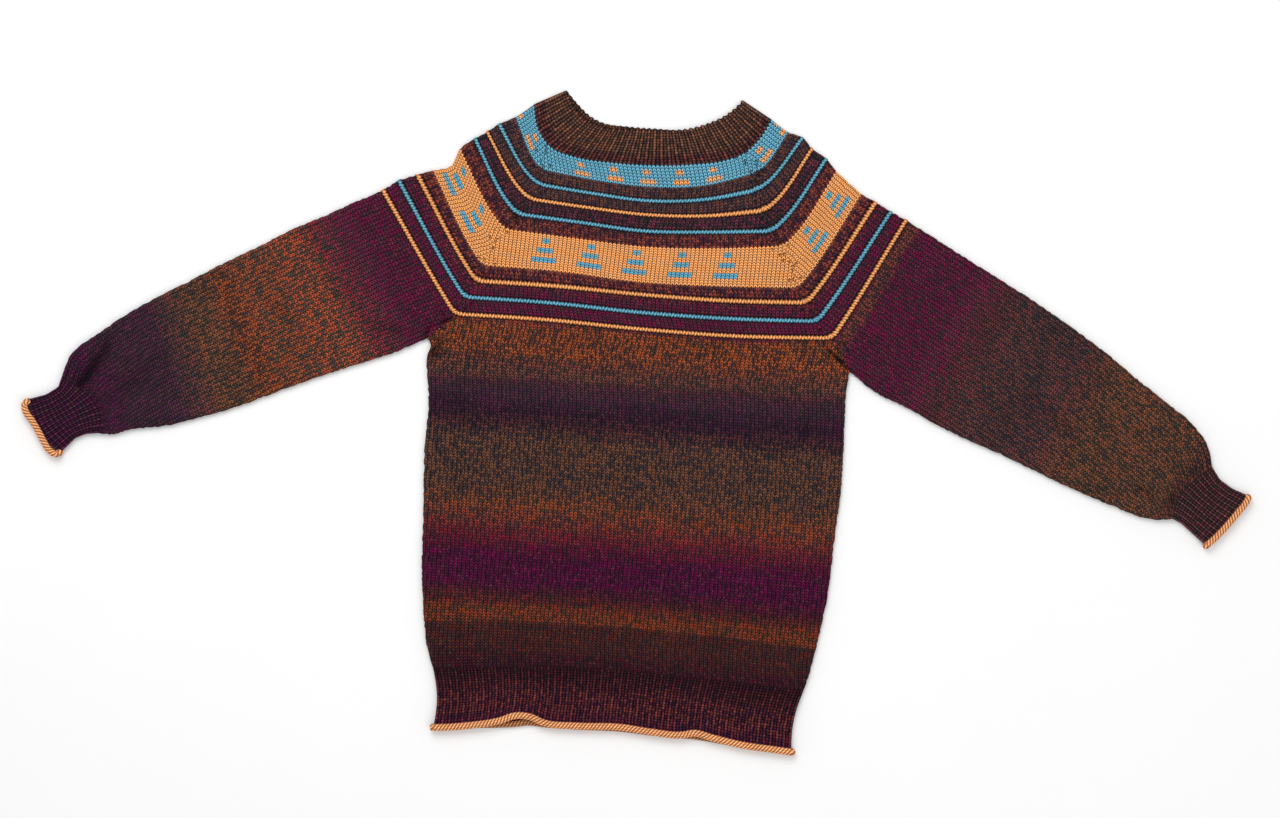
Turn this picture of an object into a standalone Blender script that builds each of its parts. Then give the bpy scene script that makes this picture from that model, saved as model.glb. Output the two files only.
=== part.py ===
"""Hand-knitted raglan sweater laid flat with its sleeves spread.

Blender 4.5 script, metres, +Z up. The garment lies on the plane Z = 0 with its front upwards: +X runs
to the right of the laid garment and +Y towards its neck. It is knitted from the neck down, with a
ribbed neckband, a yoke with corded stripes, a body with a ribbed hem, two sleeves with ribbed cuffs,
and an edge that rolls up at the hem and at each cuff. Every piece is a wall of cloth: the back layer
lies on the surface and the front layer lies on it.
"""
import math

import bmesh
import bpy
import numpy as np

# Cloth, in millimetres like every size below
MM = 0.001
WALL = 2.2
SEAM_GAP = 0.3
LAID_HEIGHT = 2 * WALL + SEAM_GAP
FOLD_HEIGHT = 7.2
FOLD_REACH = 38.0
FOLD_TURN = (0.0, 50.0, 90.0)
SMOOTH_STEPS = 8

# Distance ahead and behind at which a curve's direction is read
DIRECTION_STEP = 1.0

# Raised knitting
RIB_RELIEF = 0.9
CORD_RELIEF = 1.0
CORD_HALF_WIDTH = 2.1

# Rolled edges: half width, and half thickness of the upper and the lower run
HEM_ROLL_HALF_WIDTH = 4.1
CUFF_ROLL_HALF_WIDTH = 3.8
ROLL_UPPER_HALF = 3.2
ROLL_LOWER_HALF = 2.6
ROLL_SIDES = 8
ROLL_TURN = (-60.0, -30.0, 0.0, 30.0, 60.0)
ROLL_END_TUCK = 5.0
CUFF_ROLL_OVERHANG = 4.0

# Columns of each layer between its two folds or seams
BODY_FRONT_COLUMNS = 28
BODY_BACK_COLUMNS = 14
SLEEVE_FRONT_COLUMNS = 8
SLEEVE_BACK_COLUMNS = 4
NECK_RIBS = 35
NECK_BACK_COLUMNS = 14
HEM_RIBS = 56
CUFF_RIBS = 12
CUFF_BACK_COLUMNS = 4
HEM_ROLL_FRONT_COLUMNS = 48
HEM_ROLL_BACK_COLUMNS = 28
CUFF_ROLL_COLUMNS = 12

# Height of both layers where the rib meets its rolled edge, and how far the back layer lifts there
EDGE_HEIGHT = 8.2
EDGE_LIFT = 2.4

# Neckband sections from the left shoulder fold to the right one: point on the neck edge, point on the
# join with the yoke, and how far the back edge stands beyond the front edge
NECKBAND_SECTIONS = (
    # edge_x, edge_y, join_x, join_y, back_rise
    (-84, 396, -121, 380, 0),
    (-74, 375, -117, 353, 4),
    (-62, 361, -102, 330, 5),
    (-43, 352, -70, 317, 4),
    (-14, 349, -29, 311, 3),
    (22, 348, 18, 308, 1),
    (57, 349, 66, 309, 0),
    (85, 356, 102, 313, 0),
    (105, 365, 127, 322, 0),
    (117, 374, 147, 341, 0),
    (127, 384, 160, 362, 0),
)

# Where the raglan seams leave the neckband, as sections of the table above
LEFT_RAGLAN_SECTION = 1.72
RIGHT_RAGLAN_SECTION = 8.15

# Yoke rows from the neck down: ends on the two raglan seams and on the two shoulder folds, the height
# of the fold, and how far the front sags below the straight line at its quarters and its middle
YOKE_ROWS = (
    # name, left_seam, right_seam, left_fold, right_fold, fold_height, sags
    ("neck", (-107, 333), (130, 325), (-121, 380), (160, 362), 4.7, (19, 21, 18)),
    ("blue_end", (-114, 303), (143, 299), (-143, 365), (180, 347), 5.8, (12, 19, 17)),
    ("cord_1", (-117, 284), (143, 277), (-164, 356), (198, 340), 6.6, (9, 16, 13)),
    ("cord_2", (-128, 267), (153, 253), (-178, 347), (209, 327), 7.2, (7, 12, 10)),
    ("cord_3", (-142, 249), (161, 228), (-192, 339), (226, 315), 7.2, (5, 10, 6)),
    ("orange_start", (-156, 232), (174, 212), (-209, 328), (237, 301), 7.2, (6, 11, 8)),
    ("orange_middle", (-170, 211), (183, 187), (-221, 306), (252, 287), 7.2, (3, 9, 6)),
    ("orange_end", (-184, 189), (192, 162), (-241, 301), (267, 274), 7.2, (1, 7, 5)),
    ("cord_4", (-191, 169), (203, 143), (-261, 296), (285, 263), 7.2, (0, 3, 4)),
    ("cord_5", (-205, 150), (215, 121), (-283, 289), (303, 252), 7.2, (0, 4, 4)),
    ("cord_6", (-216, 130), (233, 101), (-302, 278), (321, 242), 7.2, (0, 4, 5)),
    ("armpit", (-249, 101), (254, 61), (-341, 261), (354, 221), 7.2, (2, 4, 4)),
)

# Body rows below the armpits: ends on the two side folds
BODY_ROWS = (
    # left_x, left_y, right_x, right_y
    (-250, 68, 250, 37),
    (-248, 33, 248, -2),
    (-253, -32, 245, -68),
    (-254, -104, 236, -139),
    (-256, -169, 228, -205),
    (-254, -225, 216, -261),
    (-249, -270, 206, -300),
    (-242, -292, 199, -318),
)

# Sleeve rows from the armpit to the cuff: ends on the underarm fold and on the upper fold, how far the
# row bows towards the body, the height of the front layer between the folds and the height of the folds
SLEEVE_LEFT_ROWS = (
    # under_x, under_y, upper_x, upper_y, bow, laid_height, fold_height
    (-279, 87, -369, 248, 0, 4.9, 7.2),
    (-327, 71, -412, 230, 0, 5.1, 7.2),
    (-374, 56, -453, 209, 0, 5.3, 7.2),
    (-422, 39, -493, 190, 0, 5.4, 7.2),
    (-469, 21, -531, 170, 0, 5.5, 7.2),
    (-517, 7, -569, 151, 0, 5.8, 7.4),
    (-561, -4, -605, 131, 2, 6.2, 7.8),
    (-600, -8, -638, 109, 8, 6.4, 8.0),
    (-629, -14, -674, 81, 14, 6.2, 7.8),
    (-641, -12, -684, 55, 20, 5.2, 7.0),
)
SLEEVE_RIGHT_ROWS = (
    # under_x, under_y, upper_x, upper_y, bow, laid_height, fold_height
    (280, 39, 387, 200, 0, 4.9, 7.2),
    (328, 14, 428, 174, 0, 5.1, 7.2),
    (373, -11, 468, 149, 0, 5.3, 7.2),
    (423, -33, 511, 119, 0, 5.4, 7.2),
    (473, -57, 554, 88, 0, 5.5, 7.2),
    (523, -81, 597, 52, 0, 5.8, 7.4),
    (566, -99, 632, 24, 2, 6.2, 7.8),
    (602, -113, 663, -2, 7, 6.4, 8.0),
    (623, -116, 680, -27, 11, 6.2, 7.8),
    (638, -114, 685, -52, 12, 5.2, 7.0),
)

# Cuff rows after the join with the sleeve, up to the rolled edge
CUFF_LEFT_ROWS = (
    # under_x, under_y, middle_x, middle_y, upper_x, upper_y
    (-655, -13, -665, 15, -688, 43),
    (-668, -18, -687, 3, -702, 34),
    (-686, -36, -711, -9, -725, 28),
)
CUFF_RIGHT_ROWS = (
    # under_x, under_y, middle_x, middle_y, upper_x, upper_y
    (649, -120, 668, -89, 694, -67),
    (661, -131, 685, -102, 709, -78),
    (675, -144, 704, -116, 727, -86),
)

# Levels of the ribs from their join to the rolled edge: how far along, and the height there of the
# front layer, of the folds and of the back layer's underside
CUFF_LEVELS = (
    # along, laid_height, fold_height, lift
    (0.33, 5.0, 6.6, 0.0),
    (0.67, 5.6, 6.6, 0.3),
    (1.0, EDGE_HEIGHT, EDGE_HEIGHT, EDGE_LIFT),
)
HEM_LEVELS = (
    # along, laid_height, fold_height, lift
    (0.35, 4.7, 7.0, 0.0),
    (0.72, 5.3, 7.0, 0.0),
    (1.0, EDGE_HEIGHT, EDGE_HEIGHT, EDGE_LIFT),
)
HEM_DRAW_IN = 4.0

# Lower edge of the hem: its two ends, and how far the front and the back rolls rise above the straight
# line between them
HEM_LEFT_END = (-246, -362)
HEM_RIGHT_END = (189, -392)
HEM_WAVES = (
    # across, front_rise, back_rise
    (0.0, 0, 0),
    (0.05, 2, 2),
    (0.11, 6, 6),
    (0.19, 14, 9),
    (0.23, 21, 11),
    (0.27, 21, 14),
    (0.31, 15, 13),
    (0.40, 14, 13),
    (0.52, 16, 14),
    (0.60, 13, 12),
    (0.69, 12, 11),
    (0.72, 15, 11),
    (0.77, 11, 9),
    (0.85, 5, 5),
    (0.94, 2, 2),
    (1.0, 0, 0),
)

# Broad folds of the front layer: centre, half length, half width, heading in degrees and height
BROAD_FOLDS = (
    # x, y, half_length, half_width, heading, height
    (-648, 78, 34, 13, 48, -1.6),
    (-626, 58, 40, 15, 50, 1.3),
    (-600, 52, 46, 18, 40, -0.9),
    (648, -38, 38, 15, -60, 1.4),
    (622, -58, 44, 16, -40, -1.0),
    (-296, 116, 60, 17, 158, 1.2),
    (-262, 128, 55, 15, 150, -0.9),
    (286, 92, 62, 17, 25, 1.2),
    (262, 78, 50, 14, 55, -1.0),
    (-226, 40, 50, 18, 100, 1.0),
    (215, -10, 60, 18, 80, 1.0),
)

# Colours of the cloth, roughness is the same for all of it
CLOTH_ROUGHNESS = 0.9
MARL = (0.045, 0.019, 0.026)
NECK_BROWN = (0.085, 0.034, 0.020)
RIB_CHARCOAL = (0.034, 0.016, 0.022)
EDGE_ORANGE = (0.690, 0.275, 0.085)


def smooth_points(points):
    """Points along a smooth curve through the given plan points."""
    knots = np.array(points, float)
    marks = np.concatenate(([0.0], np.cumsum(np.linalg.norm(np.diff(knots, axis=0), axis=1))))
    slopes = np.gradient(knots, marks, axis=0)
    curve = [knots[0]]
    for index in range(len(knots) - 1):
        span = marks[index + 1] - marks[index]
        for step in range(1, SMOOTH_STEPS + 1):
            t = step / SMOOTH_STEPS
            rise = t * t * (3 - 2 * t)
            leave = t * (1 - t) ** 2 * span * slopes[index]
            arrive = t * t * (t - 1) * span * slopes[index + 1]
            curve.append(knots[index] * (1 - rise) + knots[index + 1] * rise + leave + arrive)
    return np.array(curve)


class Line:
    """A plan curve measured by the distance along it."""

    def __init__(self, points, smooth=True):
        self.points = smooth_points(points) if smooth else np.array(points, float)
        steps = np.linalg.norm(np.diff(self.points, axis=0), axis=1)
        self.marks = np.concatenate(([0.0], np.cumsum(steps)))
        self.length = self.marks[-1]

    def at(self, distance):
        return np.array([np.interp(distance, self.marks, self.points[:, axis]) for axis in (0, 1)])

    def normal(self, distance):
        """Unit vector to the left of the curve's direction."""
        ahead = self.at(distance + DIRECTION_STEP) - self.at(distance - DIRECTION_STEP)
        return np.array([-ahead[1], ahead[0]]) / np.linalg.norm(ahead)

    def part(self, start, end):
        """The stretch between two distances, from start to end."""
        inner = [mark for mark in self.marks if min(start, end) < mark < max(start, end)]
        inner = inner if start < end else inner[::-1]
        return Line([self.at(mark) for mark in [start, *inner, end]], smooth=False)

    def lengthened(self, extra):
        """The curve carried on straight past both of its ends."""
        first = self.points[0] + (self.points[0] - self.points[1]) / self.marks[1] * extra
        step = self.points[-1] - self.points[-2]
        last = self.points[-1] + step / np.linalg.norm(step) * extra
        return Line([first, *self.points, last], smooth=False)

    def shifted(self, offset):
        """The curve moved sideways, positive to the left of its direction."""
        points = [self.at(mark) + offset * self.normal(mark) for mark in self.marks]
        return Line(points, smooth=False)


class Row:
    """A section across one or two layers, with a fold or a flat seam at each end."""

    def __init__(self, line, fold_height, laid=LAID_HEIGHT, lift=0.0, start_fold=1.0, end_fold=1.0,
                 cord=0.0):
        self.line = line
        self.laid = laid
        self.lift = lift
        self.fold_height = max(fold_height, laid)
        self.radius = (self.fold_height - lift) / 2
        self.middle = lift + self.radius
        self.folds = {"start": start_fold, "end": end_fold}
        self.cord = cord

    def flat_distance(self, station):
        """Distance along the row of a station on its outer face."""
        kind, value = station
        if kind == "middle":
            return self.radius + value * (self.line.length - 2 * self.radius)
        distance = self.radius * (1 - math.cos(math.radians(value)))
        return distance if kind == "start" else self.line.length - distance

    def fullness(self, distance):
        """How much of a fold's extra height is left at a distance along the row."""
        amount = 0.0
        for kind, weight in self.folds.items():
            away = distance if kind == "start" else self.line.length - distance
            t = min(max((away - self.radius) / FOLD_REACH, 0.0), 1.0)
            amount = max(amount, weight * (1 - t * t * (3 - 2 * t)))
        return amount

    def front_height(self, distance):
        """Height of the front layer's outer face, without its raised knitting."""
        fullness = self.fullness(distance)
        rise = (self.fold_height - self.laid) * fullness
        rise += (1 - fullness) * broad_relief(self.line.at(distance))
        return max(self.laid + rise, self.lift + LAID_HEIGHT)

    def flat_heights(self, distance, side):
        if side < 0:
            return self.lift, self.lift + WALL
        outer = self.front_height(distance)
        return outer, outer - WALL

    def points(self, station, side):
        """Outer and inner point of the front layer (side 1), the back layer (-1) or a fold's tip (0)."""
        kind, value = station
        distance = self.flat_distance(station)
        outer_height, inner_height = self.flat_heights(distance, side)
        flat = np.array([[distance, outer_height], [distance, inner_height]])
        if kind == "middle":
            return self.in_space(flat)
        turn = math.radians(value)
        folded = []
        for radius in (self.radius, self.radius - WALL):
            depth = self.radius - radius * math.cos(turn)
            height = max(radius * math.sin(turn), SEAM_GAP / 2) * side
            along = depth if kind == "start" else self.line.length - depth
            folded.append((along, self.middle + height))
        weight = self.folds[kind]
        return self.in_space(flat * (1 - weight) + np.array(folded) * weight)

    def in_space(self, pairs):
        return np.array([[*self.line.at(distance), height] for distance, height in pairs])


def broad_relief(point):
    """Height that the broad folds add to the front layer at a plan point."""
    height = 0.0
    for x, y, half_length, half_width, heading, rise in BROAD_FOLDS:
        angle = math.radians(heading)
        offset = point - np.array([x, y])
        along = (offset[0] * math.cos(angle) + offset[1] * math.sin(angle)) / half_length
        across = (offset[1] * math.cos(angle) - offset[0] * math.sin(angle)) / half_width
        height += rise * math.exp(-along * along - across * across)
    return height


def front_stations(count):
    """Stations of a layer from its start to its end."""
    start = [("start", angle) for angle in FOLD_TURN]
    middle = [("middle", index / count) for index in range(1, count)]
    end = [("end", angle) for angle in reversed(FOLD_TURN)]
    return start + middle + end


def layer_grids(rows, count, side):
    """Outer and inner points of one layer: an array of rows by stations for each face."""
    stations = front_stations(count)
    grid = np.array([[row.points(station, side) for station in stations] for row in rows])
    return grid[:, :, 0], grid[:, :, 1]


def wrapped_grids(front_rows, back_rows, front_count, back_count, closed):
    """Outer and inner points of a folded sheet: over the front, round the end fold and along the back.

    A closed one also joins its back to its front round the start fold.
    """
    front = front_stations(front_count)
    back = front_stations(back_count)[::-1]
    path = [(station, 1) for station in front[:-1]] + [(front[-1], 0)]
    path += [(station, -1) for station in back[1:]]
    if closed:
        path = [(front[0], 0)] + path[1:-1]
    grid = []
    for front_row, back_row in zip(front_rows, back_rows):
        rows = {1: front_row, 0: front_row, -1: back_row}
        grid.append([rows[side].points(station, side) for station, side in path])
    grid = np.array(grid)
    return grid[:, :, 0], grid[:, :, 1]


def raise_ribs(outer, ribs, first_row):
    """Raise every second column of the outer points, from the given row on."""
    first = len(FOLD_TURN)
    for row in range(first_row, len(outer)):
        outer[row, first:first + 2 * ribs:2, 2] += RIB_RELIEF


def pull_in(grids, border, neighbour):
    """Draw one border row of both faces back by the seam's gap, in plan."""
    for grid in grids:
        direction = grid[neighbour, :, :2] - grid[border, :, :2]
        direction /= np.linalg.norm(direction, axis=-1, keepdims=True)
        grid[border, :, :2] += direction * SEAM_GAP


def material(name, colour):
    """Cloth of one colour."""
    result = bpy.data.materials.new(name)
    result.use_nodes = True
    shader = result.node_tree.nodes["Principled BSDF"]
    shader.inputs["Base Color"].default_value = (*colour, 1.0)
    shader.inputs["Roughness"].default_value = CLOTH_ROUGHNESS
    shader.inputs["Metallic"].default_value = 0.0
    return result


def add_mesh(name, vertices, faces, colour):
    """A smooth object from points in millimetres."""
    mesh = bpy.data.meshes.new(name)
    mesh.from_pydata([tuple(float(value) * MM for value in vertex) for vertex in vertices], [], faces)
    surface = bmesh.new()
    surface.from_mesh(mesh)
    bmesh.ops.recalc_face_normals(surface, faces=surface.faces)
    surface.to_mesh(mesh)
    surface.free()
    mesh.shade_smooth()
    mesh.materials.append(material(name, colour))
    result = bpy.data.objects.new(name, mesh)
    bpy.context.scene.collection.objects.link(result)
    return result


def add_wall(name, outer, inner, row_keys, column_keys, colour, closed=False):
    """A closed wall between an outer face and a plainer inner one.

    The inner face keeps only the rows and columns of the outer one that the keys name.
    """
    rows, columns = outer.shape[:2]
    inner = inner[np.ix_(row_keys, column_keys)]
    inner_rows, inner_columns = inner.shape[:2]
    vertices = np.concatenate((outer.reshape(-1, 3), inner.reshape(-1, 3)))

    def outer_index(row, column):
        return row * columns + column % columns

    def inner_index(row, column):
        return rows * columns + row * inner_columns + column % inner_columns

    outer_spans = columns if closed else columns - 1
    inner_spans = inner_columns if closed else inner_columns - 1
    column_keys = list(column_keys) + ([columns] if closed else [])
    faces = []
    for row in range(rows - 1):
        for column in range(outer_spans):
            faces.append((outer_index(row, column), outer_index(row + 1, column),
                          outer_index(row + 1, column + 1), outer_index(row, column + 1)))
    for row in range(inner_rows - 1):
        for column in range(inner_spans):
            faces.append((inner_index(row, column), inner_index(row, column + 1),
                          inner_index(row + 1, column + 1), inner_index(row + 1, column)))
    for column in range(inner_spans):
        keys = range(column_keys[column], column_keys[column + 1] + 1)
        first = [outer_index(0, key) for key in keys]
        last = [outer_index(rows - 1, key) for key in keys]
        faces.append((*first, inner_index(0, column + 1), inner_index(0, column)))
        faces.append((*reversed(last), inner_index(inner_rows - 1, column),
                      inner_index(inner_rows - 1, column + 1)))
    if not closed:
        for row in range(inner_rows - 1):
            keys = range(row_keys[row], row_keys[row + 1] + 1)
            first = [outer_index(key, 0) for key in keys]
            last = [outer_index(key, columns - 1) for key in keys]
            faces.append((*reversed(first), inner_index(row, 0), inner_index(row + 1, 0)))
            faces.append((*last, inner_index(row + 1, inner_columns - 1),
                          inner_index(row, inner_columns - 1)))
    return add_mesh(name, vertices, faces, colour)


def add_roll(name, front_line, back_line, front_count, back_count, half_width):
    """A rolled edge: a closed ring whose upper run lies on its lower run."""
    corner = 1 / math.cos(math.pi / ROLL_SIDES)
    lower_z = ROLL_LOWER_HALF
    upper_z = 2 * ROLL_LOWER_HALF + SEAM_GAP + ROLL_UPPER_HALF
    turn_radius = (upper_z - lower_z) / 2
    turn_half = (ROLL_UPPER_HALF + ROLL_LOWER_HALF) / 2
    inset = turn_radius + turn_half

    def section(distance, angle, heading):
        """Ring of points at a place on the path; angle is 90 on the upper run and -90 on the lower.

        The heading is -1 at the turn at the start, 1 at the turn at the end and 0 between them.
        """
        tilt = math.radians(angle)
        weight = (1 + math.sin(tilt)) / 2
        half = ROLL_LOWER_HALF + (ROLL_UPPER_HALF - ROLL_LOWER_HALF) * weight
        ring = []
        for side in range(ROLL_SIDES):
            around = 2 * math.pi * (side + 0.5) / ROLL_SIDES
            sideways = half_width * corner * math.cos(around)
            outward = turn_radius + half * corner * math.sin(around)
            share_along = (distance + heading * outward * math.cos(tilt)) / front_line.length
            plan = np.zeros(2)
            for line, share in ((back_line, 1 - weight), (front_line, weight)):
                place = share_along * line.length
                plan += share * (line.at(place) + sideways * line.normal(place))
            ring.append((*plan, (upper_z + lower_z) / 2 + outward * math.sin(tilt)))
        return ring

    last = front_line.length - inset
    rings = [section(place, 90.0, 0) for place in np.linspace(inset, last, front_count + 1)]
    rings += [section(last, angle, 1) for angle in reversed(ROLL_TURN)]
    rings += [section(place, -90.0, 0) for place in np.linspace(last, inset, back_count + 1)]
    rings += [section(inset, angle, -1) for angle in ROLL_TURN]
    faces = []
    for index in range(len(rings)):
        here = index * ROLL_SIDES
        there = (index + 1) % len(rings) * ROLL_SIDES
        for side in range(ROLL_SIDES):
            other = (side + 1) % ROLL_SIDES
            faces.append((here + side, there + side, there + other, here + other))
    return add_mesh(name, [point for ring in rings for point in ring], faces, EDGE_ORANGE)


def sagging(start, end, sags=(0, 0, 0)):
    """A row from one end to the other that hangs below the straight line."""
    start, end = np.array(start, float), np.array(end, float)
    points = [start + (end - start) * share - np.array([0, sag])
              for share, sag in zip((0, 0.25, 0.5, 0.75, 1), (0, *sags, 0))]
    return Line(points)


def bowed(start, end, bow):
    """A row across a sleeve whose middle bows towards the body."""
    start, end = np.array(start, float), np.array(end, float)
    towards_body = np.array([-math.copysign(1.0, start[0]), 0.0])
    return Line([start, (start + end) / 2 + towards_body * bow, end])


def line_between(first, second, share, steps):
    """The line that lies a share of the way from one line to another."""
    return Line([first.at(first.length * place) * (1 - share) + second.at(second.length * place) * share
                 for place in np.linspace(0, 1, steps + 1)], smooth=False)


def neck_lines():
    """The neckband's join with the yoke and its front and back edges, from left fold to right fold."""
    table = np.array(NECKBAND_SECTIONS, float)
    edge, join, rise = table[:, 0:2], table[:, 2:4], table[:, 4:5]
    outward = (edge - join) / np.linalg.norm(edge - join, axis=1, keepdims=True)
    return Line(join), Line(edge), Line(edge + outward * rise)


def raglan_marks(join):
    """Distances along the neckband's join where the two raglan seams leave it."""
    return [np.interp(section * SMOOTH_STEPS, range(len(join.marks)), join.marks)
            for section in (LEFT_RAGLAN_SECTION, RIGHT_RAGLAN_SECTION)]


def corner_lines():
    """Raglan seams and shoulder folds as lines through the ends of the yoke's rows."""
    columns = list(zip(*YOKE_ROWS))
    return {name: Line(columns[index], smooth=False)
            for name, index in (("left_seam", 1), ("right_seam", 2), ("left_fold", 3), ("right_fold", 4))}


def yoke_places():
    """Every row of the yoke as its table row, its shift along the seams and its cord's relief."""
    places = []
    for row in YOKE_ROWS:
        if row[0].startswith("cord"):
            places += [(row, -CORD_HALF_WIDTH, 0.0), (row, 0.0, CORD_RELIEF), (row, CORD_HALF_WIDTH, 0.0)]
        else:
            places.append((row, 0.0, 0.0))
    return places


def main_rows(places, tail):
    """Indices of the rows that the plain faces keep: all but the two beside each cord."""
    keys = [index for index, (_, shift, _) in enumerate(places) if shift == 0.0]
    return keys + list(range(len(places), len(places) + tail))


def on_corner(line, index, shift):
    """Point on a corner line beside one of its table rows."""
    return line.at(line.marks[index] + shift)


def body_rows(join):
    """Rows of the front and the back, from the neckband's join to the ribbed hem."""
    corners = corner_lines()
    names = [row[0] for row in YOKE_ROWS]
    left_mark, right_mark = raglan_marks(join)
    rows = []
    for row, shift, cord in yoke_places():
        index = names.index(row[0])
        if row[0] == "neck":
            line = join.part(left_mark, right_mark)
        else:
            left = on_corner(corners["left_seam"], index, shift)
            right = on_corner(corners["right_seam"], index, shift)
            line = sagging(left, right, row[6])
        rows.append(Row(line, FOLD_HEIGHT, start_fold=0.0, end_fold=0.0, cord=cord))
    for left_x, left_y, right_x, right_y in BODY_ROWS:
        rows.append(Row(sagging((left_x, left_y), (right_x, right_y)), FOLD_HEIGHT))
    return rows


def sleeve_rows(join, hand, table):
    """Rows of a sleeve from the neckband's join to its cuff, each from seam or underarm to upper fold."""
    corners = corner_lines()
    names = [row[0] for row in YOKE_ROWS]
    left_mark, right_mark = raglan_marks(join)
    rows = []
    for row, shift, cord in yoke_places():
        index = names.index(row[0])
        if row[0] == "neck":
            line = join.part(left_mark, 0.0) if hand == "left" else join.part(right_mark, join.length)
        else:
            seam = on_corner(corners[hand + "_seam"], index, shift)
            fold = on_corner(corners[hand + "_fold"], index, shift)
            line = Line([seam, fold], smooth=False)
        rows.append(Row(line, row[5], start_fold=0.0, cord=cord))
    for under_x, under_y, upper_x, upper_y, bow, laid, fold_height in table:
        rows.append(Row(bowed((under_x, under_y), (upper_x, upper_y), bow), fold_height, laid))
    return rows


def row_nodes(row, count):
    """Plan points of a row's stations, so that a neighbour can share them."""
    return [row.line.at(row.flat_distance(station)) for station in front_stations(count)]


def plain_columns(count, every):
    """Columns that a plain inner face keeps: its folds and every so many between them."""
    first = len(FOLD_TURN) - 1
    last = first + count
    return [*range(first), *range(first, last + 1, every), *range(last + 1, last + first + 1)]


def raise_cords(outer, rows, stations):
    """Raise the corded stripes over the first stations of each row."""
    for index, row in enumerate(rows):
        outer[index, :stations, 2] += row.cord


def build_body(join):
    """Front and back, and the last row of each for the hem to share."""
    rows = body_rows(join)
    places = yoke_places()
    keys = main_rows(places, len(BODY_ROWS))
    front = layer_grids(rows, BODY_FRONT_COLUMNS, 1)
    raise_cords(front[0], rows, front[0].shape[1])
    plain_rows = [rows[key] for key in keys]
    back = layer_grids(plain_rows, BODY_BACK_COLUMNS, -1)
    for grids in (front, back):
        pull_in(grids, 0, 1)
        pull_in(grids, -1, -2)
    add_wall("front", *front, keys, plain_columns(BODY_FRONT_COLUMNS, 1), MARL)
    add_wall("back", *back, range(len(keys)), plain_columns(BODY_BACK_COLUMNS, 1), MARL)
    return rows


def build_sleeve(join, hand, table):
    """One sleeve as a sheet folded along its upper edge, and its rows for the cuff to share."""
    rows = sleeve_rows(join, hand, table)
    places = yoke_places()
    grids = wrapped_grids(rows, rows, SLEEVE_FRONT_COLUMNS, SLEEVE_BACK_COLUMNS, closed=False)
    front_and_fold = len(front_stations(SLEEVE_FRONT_COLUMNS))
    raise_cords(grids[0], rows, front_and_fold)
    yoke_columns = [grid[:len(places)].swapaxes(0, 1) for grid in grids]
    pull_in(yoke_columns, 0, 1)
    pull_in(yoke_columns, -1, -2)
    pull_in(grids, 0, 1)
    pull_in(grids, -1, -2)
    keys = main_rows(places, len(table))
    add_wall("sleeve_" + hand, *grids, keys, range(grids[0].shape[1]), MARL)
    return rows


def shared_line(*node_lists):
    """A line straight from node to node, without repeats."""
    nodes = [node_lists[0][0]]
    for node in (node for nodes_of_one in node_lists for node in nodes_of_one):
        if np.linalg.norm(node - nodes[-1]) > SEAM_GAP:
            nodes.append(node)
    return Line(nodes, smooth=False)


def build_neckband(join, edge, back_edge, body, sleeves):
    """The ribbed neckband, a ring whose front half is ribbed and whose back half rests flat."""
    lines = {}
    for layer, sleeve_count, body_count in (
            ("front", SLEEVE_FRONT_COLUMNS, BODY_FRONT_COLUMNS),
            ("back", SLEEVE_BACK_COLUMNS, BODY_BACK_COLUMNS)):
        left = row_nodes(sleeves["left"][0], sleeve_count)[::-1]
        middle = row_nodes(body[0], body_count)
        right = row_nodes(sleeves["right"][0], sleeve_count)
        lines[layer] = shared_line(left, middle, right)
    fold_height = YOKE_ROWS[0][5]
    rows = {}
    for layer, neck_edge in (("front", edge), ("back", back_edge)):
        halfway = line_between(lines[layer], neck_edge, 0.5, 4 * NECK_RIBS)
        rows[layer] = [Row(line, fold_height) for line in (lines[layer], halfway, neck_edge)]
    outer, inner = wrapped_grids(rows["front"], rows["back"], 2 * NECK_RIBS, NECK_BACK_COLUMNS, closed=True)
    raise_ribs(outer, NECK_RIBS, 0)
    columns = range(outer.shape[1])
    add_wall("neckband", outer, inner, range(len(outer)), columns, NECK_BROWN, closed=True)


def hem_lines():
    """Centre lines of the hem's front and back rolls, from left to right."""
    table = np.array(HEM_WAVES, float)
    start, end = np.array(HEM_LEFT_END, float), np.array(HEM_RIGHT_END, float)
    up = np.array([start[1] - end[1], end[0] - start[0]]) / np.linalg.norm(end - start)
    chord = start + table[:, 0:1] * (end - start)
    return Line(chord + up * table[:, 1:2]), Line(chord + up * table[:, 2:3])


def build_hem(body):
    """Ribbed hem in two halves and the roll below it."""
    rolls = dict(zip(("front", "back"), hem_lines()))
    settings = (
        # layer, side, columns shared with the body, columns
        ("front", 1, BODY_FRONT_COLUMNS, 2 * HEM_RIBS),
        ("back", -1, BODY_BACK_COLUMNS, 2 * BODY_BACK_COLUMNS),
    )
    for layer, side, shared, count in settings:
        join = Line(row_nodes(body[-1], shared), smooth=False)
        roll = rolls[layer]
        end = roll.shifted(HEM_ROLL_HALF_WIDTH + SEAM_GAP).part(ROLL_END_TUCK, roll.length - ROLL_END_TUCK)
        rows = [Row(join, FOLD_HEIGHT)]
        for along, laid, fold_height, lift in HEM_LEVELS:
            drawn = HEM_DRAW_IN * math.sin(math.pi * along)
            line = line_between(join, end, along, 2 * HEM_RIBS)
            rows.append(Row(line.part(drawn, line.length - drawn), fold_height, laid, lift))
        outer, inner = layer_grids(rows, count, side)
        if layer == "front":
            raise_ribs(outer, HEM_RIBS, 1)
        columns = plain_columns(count, count // (2 * shared))
        add_wall("hem_rib_" + layer, outer, inner, range(len(rows)), columns, RIB_CHARCOAL)
    add_roll("hem_roll", rolls["front"], rolls["back"], HEM_ROLL_FRONT_COLUMNS, HEM_ROLL_BACK_COLUMNS,
             HEM_ROLL_HALF_WIDTH)


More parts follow.
